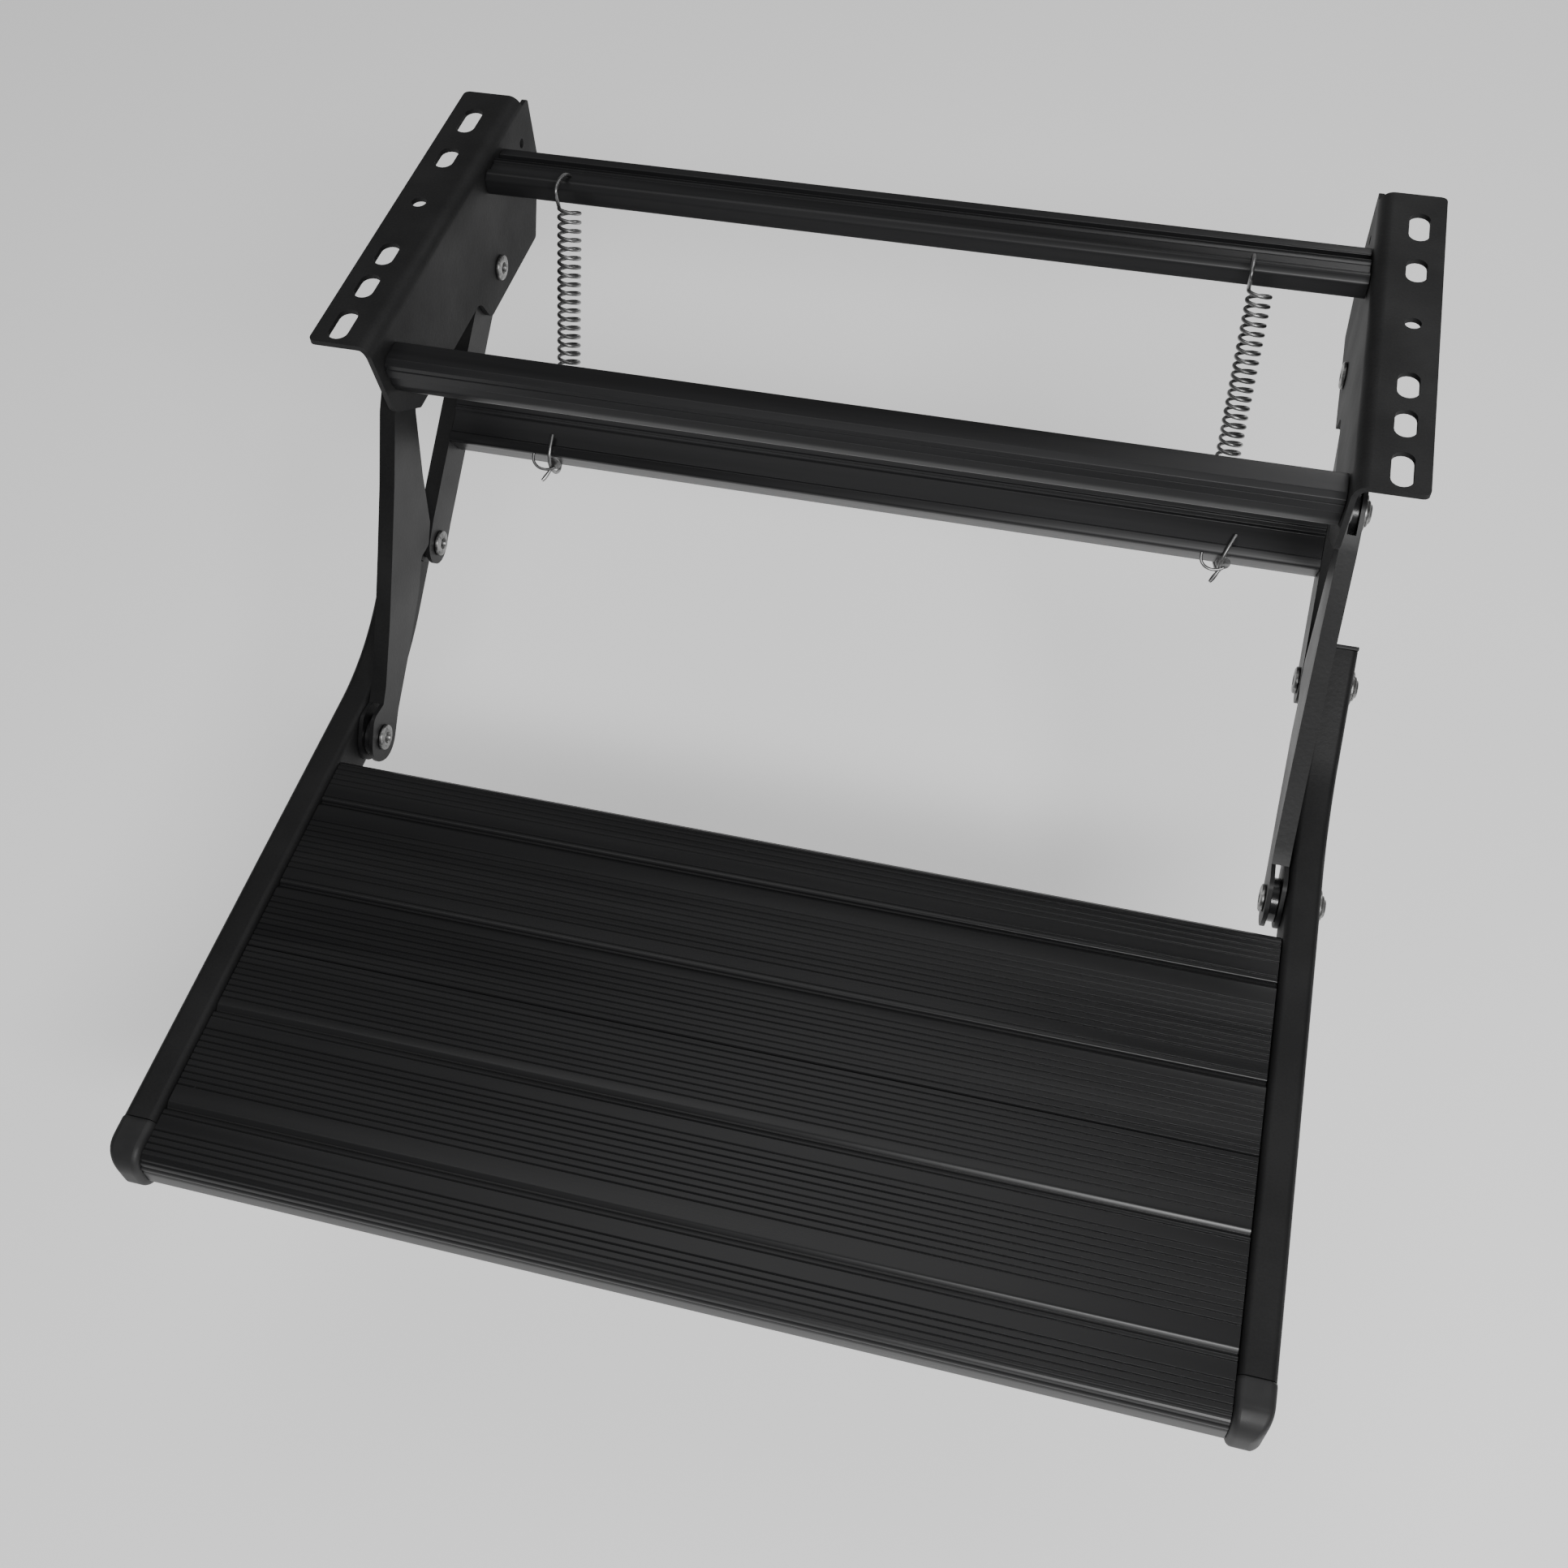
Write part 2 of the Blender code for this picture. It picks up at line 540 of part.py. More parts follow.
def front_cap():
    """Moulded rounded cap on the rail's front end, with its spigot inside the tube."""
    bottom = RAIL_TOP - RAIL_HEIGHT - 0.8
    outline = rounded(((RAIL_FRONT - GAP, RAIL_TOP + 0.3, 1), (CAP_NOSE, RAIL_TOP + 0.3, 13),
                       (CAP_NOSE, bottom, 13), (RAIL_FRONT - GAP, bottom, 1)), 8)
    body = prism("front_cap_right", outline, "X", RAIL_IN - 0.1, RAIL_OUT + 0.3, BLACK_PLASTIC)
    low = RAIL_TOP - RAIL_HEIGHT + SPIGOT_INSET
    high = RAIL_TOP - SPIGOT_INSET
    root = RAIL_FRONT - 2
    tip = RAIL_FRONT + SPIGOT_LENGTH
    spigot = [Vector(point) for point in ((root, low), (tip, low), (tip, high), (root, high))]
    combine(body, prism("spigot", spigot, "X", RAIL_IN + SPIGOT_INSET, RAIL_OUT - SPIGOT_INSET), "UNION")
    return body


def line_groove(middle):
    """Fine V groove in the plank's top, from rear to front."""
    return [(middle + 0.55, PLANK_TOP), (middle, PLANK_TOP - 0.7), (middle - 0.55, PLANK_TOP)]


def wide_groove(end):
    """Drain groove: a soft slope down, a steep wall up to a rounded lip, a narrow land and a fine line."""
    return ([(end + 7.8, PLANK_TOP), (end + 6.2, PLANK_TOP - 0.6), (end + 4.6, PLANK_TOP - 2.0),
             (end + 3.5, PLANK_TOP - 2.0), (end + 3.2, PLANK_TOP - 0.8), (end + 2.7, PLANK_TOP - 0.3),
             (end + 1.9, PLANK_TOP)] + line_groove(end))


def plank(name):
    """Front plank, from the seam line to the nose: ribbed top, hollow inside, screw bosses at its ends."""
    rear = PLANK_SEAM - GAP / 2
    bottom = PLANK_TOP - PLANK_THICK
    top = [(rear, PLANK_TOP - 0.8), (rear - 0.6, PLANK_TOP)]
    for line in range(1, SEAM_LINES + 1):
        top += line_groove(PLANK_SEAM - SEAM_LINE_PITCH * line)
    top += wide_groove(GROOVE_ENDS[0])
    for line in range(FIELD_LINES):
        top += line_groove(FIELD_START - FIELD_PITCH * line)
    top += wide_groove(GROOVE_ENDS[1])
    for line in range(NOSE_LINES):
        top += line_groove(NOSE_LINES_START - NOSE_LINES_PITCH * line)
    outline = top + nose_points() + [(PLANK_FRONT + 1.5, bottom), (rear, bottom)]
    body = prism(name, [Vector(point) for point in outline], "X", -PLANK_HALF_WIDTH, PLANK_HALF_WIDTH,
                 BLACK_ALUMINIUM)
    ceiling = PLANK_TOP - 2.0 - PLANK_SKIN
    floor = bottom + PLANK_SKIN
    bosses = [PLANK_SEAM - inset for inset in PLANK_SCREW_INSET]
    stops = [rear - PLANK_SKIN] + [boss + edge for boss in bosses for edge in (5.5, -5.5)] + [PLANK_FRONT + 9]
    for start, end in zip(stops[::2], stops[1::2]):
        chamber = [Vector(p) for p in ((start, ceiling), (end, ceiling), (end, floor), (start, floor))]
        combine(body, prism("chamber", chamber, "X", -PLANK_HALF_WIDTH - 2, PLANK_HALF_WIDTH + 2),
                "DIFFERENCE")
    depth = SCREW_GRIP + 4
    for boss in bosses:
        spot = (boss, PLANK_SCREW_Z)
        drill(body, spot, SCREW_BORE, PLANK_HALF_WIDTH - depth, PLANK_HALF_WIDTH + 2)
        drill(body, spot, SCREW_BORE, -PLANK_HALF_WIDTH - 2, depth - PLANK_HALF_WIDTH)
    return body


def nose_points():
    """The plank's front edge: a quarter turn down with three ribs, then straight to the lower edge."""
    points = []
    steps = 12
    width = PLANK_FRONT + 7.2
    for step in range(steps + 1):
        turn = math.pi / 2 * step / steps
        dip = 0.6 if step % 3 == 2 else 0.0
        points.append((width - (7.2 - dip) * math.sin(turn), PLANK_TOP - 11 + (11 - dip) * math.cos(turn)))
    points.append((PLANK_FRONT, PLANK_TOP - PLANK_THICK + 1.5))
    return points


def turned_round(piece, name):
    """The same plank turned end for end about the seam."""
    mesh = piece.data.copy()
    seam = Matrix.Translation(Vector((0, PLANK_SEAM * MM, 0)))
    mesh.transform(seam @ Matrix.Scale(-1, 4, (0, 1, 0)) @ seam.inverted())
    mesh.flip_normals()
    mesh.materials[0] = mesh.materials[0].copy()
    mesh.materials[0].name = name
    twin = bpy.data.objects.new(name, mesh)
    bpy.context.scene.collection.objects.link(twin)
    return twin


# ---------------------------------------------------------------- springs

def spring_points():
    """Centre line of the wire: top hook, coil, leg, and the hook round the link crossbar's lower edge."""
    run = (COIL_FOOT - COIL_TOP).normalized()
    side = Vector((-run[1], run[0]))
    hook = [Vector((SPRING_X, y, z)) for y, z in (
        (198.8, -17.5), (198.6, -10.5), (195.5, -6.5), (187, -3), (177, -1.5), (168.5, -3.2), (163.5, -8))]
    coil = []
    for step in range(COIL_TURNS * COIL_STEPS + 1):
        turn = 2 * math.pi * step / COIL_STEPS
        distance = COIL_START + (COIL_END - COIL_START) * step / (COIL_TURNS * COIL_STEPS)
        spot = COIL_TOP + run * distance - side * COIL_RADIUS * math.sin(turn)
        coil.append(Vector((SPRING_X + COIL_RADIUS * math.cos(turn), *spot)))
    link = along(REAR_PIVOT, RAIL_PIVOT)
    wrap = [Vector((SPRING_X, *link(s, w))) for s, w in (
        (91, -19), (104, -16.5), (116, -12.5), (123, -6), (126, 2), (125.8, 12), (123, 19), (118, 21.4),
        (107, 20.6))]
    return hook + coil + wrap


def spring(name):
    """Tension spring drawn as one wire."""
    curve = bpy.data.curves.new(name, "CURVE")
    curve.dimensions = "3D"
    curve.bevel_depth = WIRE_RADIUS * MM
    curve.bevel_resolution = 0
    curve.use_fill_caps = True
    points = [point * MM for point in spring_points()]
    wire = curve.splines.new("POLY")
    wire.points.add(len(points) - 1)
    for spot, point in zip(wire.points, points):
        spot.co = (*point, 1.0)
    guide = bpy.data.objects.new("guide", curve)
    bpy.context.scene.collection.objects.link(guide)
    bpy.context.view_layer.update()
    mesh = bpy.data.meshes.new_from_object(guide.evaluated_get(bpy.context.evaluated_depsgraph_get()))
    bpy.data.objects.remove(guide, do_unlink=True)
    mesh.name = name
    mesh.materials.clear()
    mesh.materials.append(finish(name, SPRING_STEEL))
    piece = bpy.data.objects.new(name, mesh)
    bpy.context.scene.collection.objects.link(piece)
    return piece


def spring_tab():
    """Flat pull tab at the lower hook, hanging below the link crossbar."""
    link = along(REAR_PIVOT, RAIL_PIVOT)
    outline = rounded([(*link(s, w), r) for s, w, r in ((120.0, -3, 0.6), (122.0, -3, 0.6), (124.2, 9, 0.6),
                                                        (122.2, 9, 0.6))], 2)
    return prism("spring_tab_right", outline, "X", SPRING_X - TAB_HALF_WIDTH, SPRING_X + TAB_HALF_WIDTH, ZINC)


# ---------------------------------------------------------------- assembly

def build():
    """Make every piece, right side first, and hang the moving ones on their hinge lines."""
    clear_scene()
    front_axis = axis_empty("front_link_axis", FRONT_PIVOT)
    rear_axis = axis_empty("rear_link_axis", REAR_PIVOT)
    tread_axis = axis_empty("tread_axis", TREAD_PIVOT, front_axis)
    spring_axis = axis_empty("spring_axis", SPRING_PIVOT)

    both_sides("bracket", bracket())
    rear_crossbar()
    front_crossbar()
    both_sides("rear_crossbar_screw", screw(REAR_BAR_SCREW, PLATE_OUT))
    both_sides("front_crossbar_screw", screw(FRONT_BAR_SCREW, PLATE_OUT))
    link_stack = LINK_OUT + GAP + WASHER_THICK
    both_sides("front_pivot_pin", pin(FRONT_PIVOT, PLATE_IN, link_stack))
    both_sides("front_pivot_washer", ring(FRONT_PIVOT, LINK_OUT + GAP, link_stack, WASHER_RADIUS))
    both_sides("rear_pivot_pin", pin(REAR_PIVOT, PLATE_IN, LINK_OUT, REAR_HEAD_RECESS))

    bush_low = LINK_IN + LINK_SHEET + GAP
    bush_high = LINK_OUT - LINK_SHEET - GAP
    rail_stack = RAIL_OUT + GAP + WASHER_THICK
    front_pieces = (
        ("front_link", front_link()),
        ("tread_pivot_bush", ring(TREAD_PIVOT, bush_low, bush_high, FRONT_BUSH_RADIUS, BLACK_PLASTIC)),
        ("tread_pivot_pin", pin(TREAD_PIVOT, LINK_IN, rail_stack)),
        ("tread_pivot_washer", ring(TREAD_PIVOT, RAIL_OUT + GAP, rail_stack, WASHER_RADIUS)))
    for stem, piece in front_pieces:
        hang(both_sides(stem, piece), front_axis)

    bar_screw = along(REAR_PIVOT, RAIL_PIVOT)(*LINK_BAR_SCREW)
    rear_pieces = (
        ("rear_link", rear_link()),
        ("rear_link_bush", ring(RAIL_PIVOT, bush_low, bush_high, REAR_BUSH_RADIUS, BLACK_PLASTIC)),
        ("rear_link_pin", stub_pin(RAIL_PIVOT)),
        ("link_crossbar_screw", screw(bar_screw, LINK_OUT)),
        ("spring_tab", spring_tab()))
    hang([link_crossbar()], rear_axis)
    for stem, piece in rear_pieces:
        hang(both_sides(stem, piece), rear_axis)

    front_plank = plank("tread_plank_front")
    hang([front_plank, turned_round(front_plank, "tread_plank_rear")], tread_axis)
    inner_face = RAIL_IN + RAIL_WALL
    outer_face = RAIL_OUT - RAIL_WALL
    tread_pieces = [
        ("rail", rail()),
        ("rail_end_plug", end_plug()),
        ("front_cap", front_cap()),
        ("rail_pin", cap_pin(RAIL_PIVOT)),
        ("rail_pin_washer", ring(RAIL_PIVOT, RAIL_OUT + GAP, rail_stack, WASHER_RADIUS)),
        ("rail_pin_spacer", ring(RAIL_PIVOT, inner_face + GAP, outer_face - GAP, SPACER_RADIUS)),
        ("tread_pivot_spacer", ring(TREAD_PIVOT, inner_face + GAP, outer_face - GAP, SPACER_RADIUS))]
    for number, spot in enumerate(plank_screw_places(), 1):
        tread_pieces.append((f"tread_screw_{number}", screw(spot, inner_face)))
    for stem, piece in tread_pieces:
        hang(both_sides(stem, piece), tread_axis)

    hang(both_sides("spring", spring("spring_right")), spring_axis)


build()
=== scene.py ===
import json
import math

import bpy
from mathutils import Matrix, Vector

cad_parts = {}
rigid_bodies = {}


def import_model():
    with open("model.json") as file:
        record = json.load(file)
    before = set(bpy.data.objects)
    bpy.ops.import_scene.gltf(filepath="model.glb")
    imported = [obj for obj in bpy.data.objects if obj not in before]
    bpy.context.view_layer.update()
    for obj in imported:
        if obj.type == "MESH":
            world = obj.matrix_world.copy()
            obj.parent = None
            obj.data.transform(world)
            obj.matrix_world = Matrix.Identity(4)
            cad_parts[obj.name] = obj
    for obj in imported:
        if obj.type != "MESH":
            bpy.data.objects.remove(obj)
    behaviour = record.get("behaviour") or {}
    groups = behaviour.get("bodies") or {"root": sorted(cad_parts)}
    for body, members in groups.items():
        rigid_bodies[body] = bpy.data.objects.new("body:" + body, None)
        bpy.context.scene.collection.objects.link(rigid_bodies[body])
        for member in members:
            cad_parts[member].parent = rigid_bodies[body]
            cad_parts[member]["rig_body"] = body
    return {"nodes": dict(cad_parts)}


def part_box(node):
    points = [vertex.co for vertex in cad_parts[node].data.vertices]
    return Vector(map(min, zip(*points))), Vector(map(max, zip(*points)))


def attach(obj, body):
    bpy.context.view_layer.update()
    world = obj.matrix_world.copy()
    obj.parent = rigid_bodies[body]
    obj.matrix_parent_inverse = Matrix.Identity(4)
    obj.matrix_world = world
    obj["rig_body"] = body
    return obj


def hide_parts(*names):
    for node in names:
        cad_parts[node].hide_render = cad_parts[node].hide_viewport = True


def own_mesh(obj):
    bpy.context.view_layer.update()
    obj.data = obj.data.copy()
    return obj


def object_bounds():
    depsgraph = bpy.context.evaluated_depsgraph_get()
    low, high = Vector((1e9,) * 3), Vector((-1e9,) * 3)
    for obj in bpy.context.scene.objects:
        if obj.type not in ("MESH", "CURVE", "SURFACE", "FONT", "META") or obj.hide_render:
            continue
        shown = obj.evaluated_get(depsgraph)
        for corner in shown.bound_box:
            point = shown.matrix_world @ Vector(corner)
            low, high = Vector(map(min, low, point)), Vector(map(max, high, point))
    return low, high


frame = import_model()
cad_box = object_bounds()


# ---------------------------------------------------------------- brackets
# Two hangers folded from 3 mm steel sheet: a slotted flange that bolts up under the sill, and a
# side plate that carries the links. Both are powder coated in a fine matt black.

MM = 0.001


def powder_coat(name, dark, light, roughness, peel):
    """Baked powder: two close blacks in soft clouds, an orange-peel skin, a little uneven gloss."""
    material = bpy.data.materials.new(name)
    material.use_nodes = True
    tree = material.node_tree
    shader = tree.nodes["Principled BSDF"]
    shader.label = "powder skin"
    shader.inputs["Specular IOR Level"].default_value = 0.3

    tone = tree.nodes.new("NodeFrame")
    tone.label = "tone of the powder"
    skin = tree.nodes.new("NodeFrame")
    skin.label = "orange peel"
    gloss = tree.nodes.new("NodeFrame")
    gloss.label = "uneven gloss"

    place = tree.nodes.new("ShaderNodeTexCoord")
    place.label = "place on the metal"
    clouds = tree.nodes.new("ShaderNodeTexNoise")
    clouds.label = "thick and thin powder"
    clouds.inputs["Scale"].default_value = 28
    clouds.inputs["Detail"].default_value = 5
    specks = tree.nodes.new("ShaderNodeTexNoise")
    specks.label = "grains of powder"
    specks.inputs["Scale"].default_value = 850
    specks.inputs["Detail"].default_value = 2
    mixed = tree.nodes.new("ShaderNodeMath")
    mixed.label = "clouds and grains together"
    mixed.operation = "MULTIPLY_ADD"
    mixed.inputs[1].default_value = 0.55
    ramp = tree.nodes.new("ShaderNodeValToRGB")
    ramp.label = "dark to light black"
    ramp.color_ramp.elements[0].position = 0.55
    ramp.color_ramp.elements[0].color = (*dark, 1)
    ramp.color_ramp.elements[1].position = 0.98
    ramp.color_ramp.elements[1].color = (*light, 1)

    coarse = tree.nodes.new("ShaderNodeTexNoise")
    coarse.label = "peel"
    coarse.inputs["Scale"].default_value = 420
    coarse.inputs["Detail"].default_value = 3
    bump = tree.nodes.new("ShaderNodeBump")
    bump.label = "raise the peel"
    bump.inputs["Strength"].default_value = peel
    bump.inputs["Distance"].default_value = 0.0003

    patches = tree.nodes.new("ShaderNodeTexNoise")
    patches.label = "handled patches"
    patches.inputs["Scale"].default_value = 16
    patches.inputs["Detail"].default_value = 6
    spread = tree.nodes.new("ShaderNodeMapRange")
    spread.label = "roughness range"
    spread.inputs["From Min"].default_value = 0.3
    spread.inputs["From Max"].default_value = 0.7
    spread.inputs["To Min"].default_value = roughness - 0.06
    spread.inputs["To Max"].default_value = roughness + 0.08

    tree.links.new(place.outputs["Object"], clouds.inputs["Vector"])
    tree.links.new(place.outputs["Object"], specks.inputs["Vector"])
    tree.links.new(place.outputs["Object"], coarse.inputs["Vector"])
    tree.links.new(place.outputs["Object"], patches.inputs["Vector"])
    tree.links.new(specks.outputs["Fac"], mixed.inputs[0])
    tree.links.new(clouds.outputs["Fac"], mixed.inputs[2])
    tree.links.new(mixed.outputs["Value"], ramp.inputs["Fac"])
    tree.links.new(ramp.outputs["Color"], shader.inputs["Base Color"])
    tree.links.new(coarse.outputs["Fac"], bump.inputs["Height"])
    tree.links.new(bump.outputs["Normal"], shader.inputs["Normal"])
    tree.links.new(patches.outputs["Fac"], spread.inputs["Value"])
    tree.links.new(spread.outputs["Result"], shader.inputs["Roughness"])
    for node, x, y, group in (
            (place, -1300, 0, None), (clouds, -1000, 300, tone), (specks, -1000, 60, tone),
            (mixed, -760, 200, tone), (ramp, -540, 200, tone), (coarse, -1000, -520, skin),
            (bump, -540, -520, skin), (patches, -1000, -220, gloss), (spread, -540, -220, gloss)):
        node.location = (x, y)
        node.parent = group
    return material


def stands_for(piece, node, material):
    """Give a finished piece its material and its body, and hide the CAD node it stands in for."""
    piece.data.materials.clear()
    piece.data.materials.append(material)
    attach(piece, frame["nodes"][node]["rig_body"])
    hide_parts(node)
    return piece


def softened(node, edge, material):
    """A finer copy of a CAD node: its triangles merged into flat faces, its corners rounded."""
    mesh = frame["nodes"][node].data.copy()
    piece = bpy.data.objects.new(node + "_shown", mesh)
    bpy.context.scene.collection.objects.link(piece)
    bpy.ops.object.select_all(action="DESELECT")
    piece.select_set(True)
    bpy.context.view_layer.objects.active = piece
    bpy.ops.object.mode_set(mode="EDIT")
    bpy.ops.mesh.select_all(action="SELECT")
    bpy.ops.mesh.remove_doubles(threshold=0.01 * MM)
    bpy.ops.mesh.dissolve_limited(angle_limit=math.radians(0.5))
    bpy.ops.mesh.select_all(action="SELECT")
    bpy.ops.mesh.normals_make_consistent(inside=False)
    bpy.ops.object.mode_set(mode="OBJECT")
    bpy.ops.mesh.customdata_custom_splitnormals_clear()
    if edge:
        bevel = piece.modifiers.new("rounded corners", "BEVEL")
        bevel.width = edge
        bevel.segments = 2
        bevel.limit_method = "ANGLE"
        bevel.angle_limit = math.radians(40)
        bpy.ops.object.modifier_apply(modifier="rounded corners")
    bpy.ops.object.shade_smooth_by_angle(angle=math.radians(32))
    piece.modifiers.new("flat faces stay flat", "WEIGHTED_NORMAL").keep_sharp = True
    bpy.ops.object.modifier_apply(modifier="flat faces stay flat")
    return stands_for(piece, node, material)


bracket_coat = powder_coat("bracket_powder_coat", (0.007, 0.007, 0.0074), (0.015, 0.015, 0.0154), 0.62, 0.35)
for side in ("left", "right"):
    softened("bracket_" + side, 0.5 * MM, bracket_coat)


# ---------------------------------------------------------------- crossbars
# Three aluminium extrusions, anodised black: the flat rear bar, the boxy front bar and the bar
# between the rear links. The press leaves fine lines along each one, from end to end.

def extruded(name, dark, light, roughness, line_depth):
    """Black anodised extrusion: die lines along X, faint tone streaks and a few pale specks of dust."""
    material = bpy.data.materials.new(name)
    material.use_nodes = True
    tree = material.node_tree
    shader = tree.nodes["Principled BSDF"]
    shader.label = "anodised skin"
    shader.inputs["Specular IOR Level"].default_value = 0.3

    lines = tree.nodes.new("NodeFrame")
    lines.label = "die lines"
    tone = tree.nodes.new("NodeFrame")
    tone.label = "tone and dust"
    gloss = tree.nodes.new("NodeFrame")
    gloss.label = "gloss"

    place = tree.nodes.new("ShaderNodeTexCoord")
    place.label = "place on the bar"
    stretch = tree.nodes.new("ShaderNodeMapping")
    stretch.label = "draw out along the bar"
    stretch.inputs["Scale"].default_value = (3, 900, 900)
    drawn = tree.nodes.new("ShaderNodeTexNoise")
    drawn.label = "die lines"
    drawn.inputs["Scale"].default_value = 1
    drawn.inputs["Detail"].default_value = 4
    bump = tree.nodes.new("ShaderNodeBump")
    bump.label = "cut the lines"
    bump.inputs["Strength"].default_value = line_depth
    bump.inputs["Distance"].default_value = 0.0002

    bands = tree.nodes.new("ShaderNodeMapping")
    bands.label = "wider streaks"
    bands.inputs["Scale"].default_value = (2.2, 60, 60)
    streaks = tree.nodes.new("ShaderNodeTexNoise")
    streaks.label = "streaks in the anodising"
    streaks.inputs["Scale"].default_value = 1
    streaks.inputs["Detail"].default_value = 5
    ramp = tree.nodes.new("ShaderNodeValToRGB")
    ramp.label = "dark to light black"
    ramp.color_ramp.elements[0].position = 0.32
    ramp.color_ramp.elements[0].color = (*dark, 1)
    ramp.color_ramp.elements[1].position = 0.72
    ramp.color_ramp.elements[1].color = (*light, 1)
    dust = tree.nodes.new("ShaderNodeTexVoronoi")
    dust.label = "specks of dust"
    dust.inputs["Scale"].default_value = 34
    cut = tree.nodes.new("ShaderNodeMapRange")
    cut.label = "keep the speck centres"
    cut.inputs["From Min"].default_value = 0.02
    cut.inputs["From Max"].default_value = 0.012
    cut.inputs["To Max"].default_value = 0.35
    dusted = tree.nodes.new("ShaderNodeMix")
    dusted.label = "dust on black"
    dusted.data_type = "RGBA"
    dusted.inputs[7].default_value = (0.16, 0.16, 0.155, 1)

    spread = tree.nodes.new("ShaderNodeMapRange")
    spread.label = "roughness range"
    spread.inputs["From Min"].default_value = 0.3
    spread.inputs["From Max"].default_value = 0.7
    spread.inputs["To Min"].default_value = roughness - 0.05
    spread.inputs["To Max"].default_value = roughness + 0.07

    tree.links.new(place.outputs["Object"], stretch.inputs["Vector"])
    tree.links.new(stretch.outputs["Vector"], drawn.inputs["Vector"])
    tree.links.new(drawn.outputs["Fac"], bump.inputs["Height"])
    tree.links.new(bump.outputs["Normal"], shader.inputs["Normal"])
    tree.links.new(place.outputs["Object"], bands.inputs["Vector"])
    tree.links.new(bands.outputs["Vector"], streaks.inputs["Vector"])
    tree.links.new(streaks.outputs["Fac"], ramp.inputs["Fac"])
    tree.links.new(place.outputs["Object"], dust.inputs["Vector"])
    tree.links.new(dust.outputs["Distance"], cut.inputs["Value"])
    tree.links.new(cut.outputs["Result"], dusted.inputs[0])
    tree.links.new(ramp.outputs["Color"], dusted.inputs[6])
    tree.links.new(dusted.outputs[2], shader.inputs["Base Color"])
    tree.links.new(streaks.outputs["Fac"], spread.inputs["Value"])
    tree.links.new(spread.outputs["Result"], shader.inputs["Roughness"])
    for node, x, y, group in (
            (place, -1500, 0, None), (stretch, -1250, -420, lines), (drawn, -1000, -420, lines),
            (bump, -540, -420, lines), (bands, -1250, 260, tone), (streaks, -1000, 260, tone),
            (ramp, -760, 260, tone), (dust, -1000, 520, tone), (cut, -760, 520, tone),
            (dusted, -420, 320, tone), (spread, -540, -120, gloss)):
        node.location = (x, y)
        node.parent = group
    return material


bar_skin = extruded("crossbar_anodising", (0.008, 0.008, 0.0085), (0.02, 0.02, 0.021), 0.34, 0.12)
for bar in ("rear_crossbar", "front_crossbar", "link_crossbar"):
    softened(bar, 0.3 * MM, bar_skin)


# ---------------------------------------------------------------- links
# Four channel links folded from 2.4 mm steel sheet, two wide ones in front with a gusset and two
# straight ones behind. Their coat is the brackets' powder, laid a little smoother.

link_coat = powder_coat("link_powder_coat", (0.006, 0.006, 0.0063), (0.012, 0.012, 0.0123), 0.45, 0.2)
for side in ("left", "right"):
    softened("front_link_" + side, 0.4 * MM, link_coat)
    softened("rear_link_" + side, 0.4 * MM, link_coat)


# ---------------------------------------------------------------- rivets and washers
# Every pivot is a zinc-plated tubular rivet: a flat head inside, a shank through the link, and an
# end that is rolled over a washer outside. They are turned parts, so each is one spun profile.

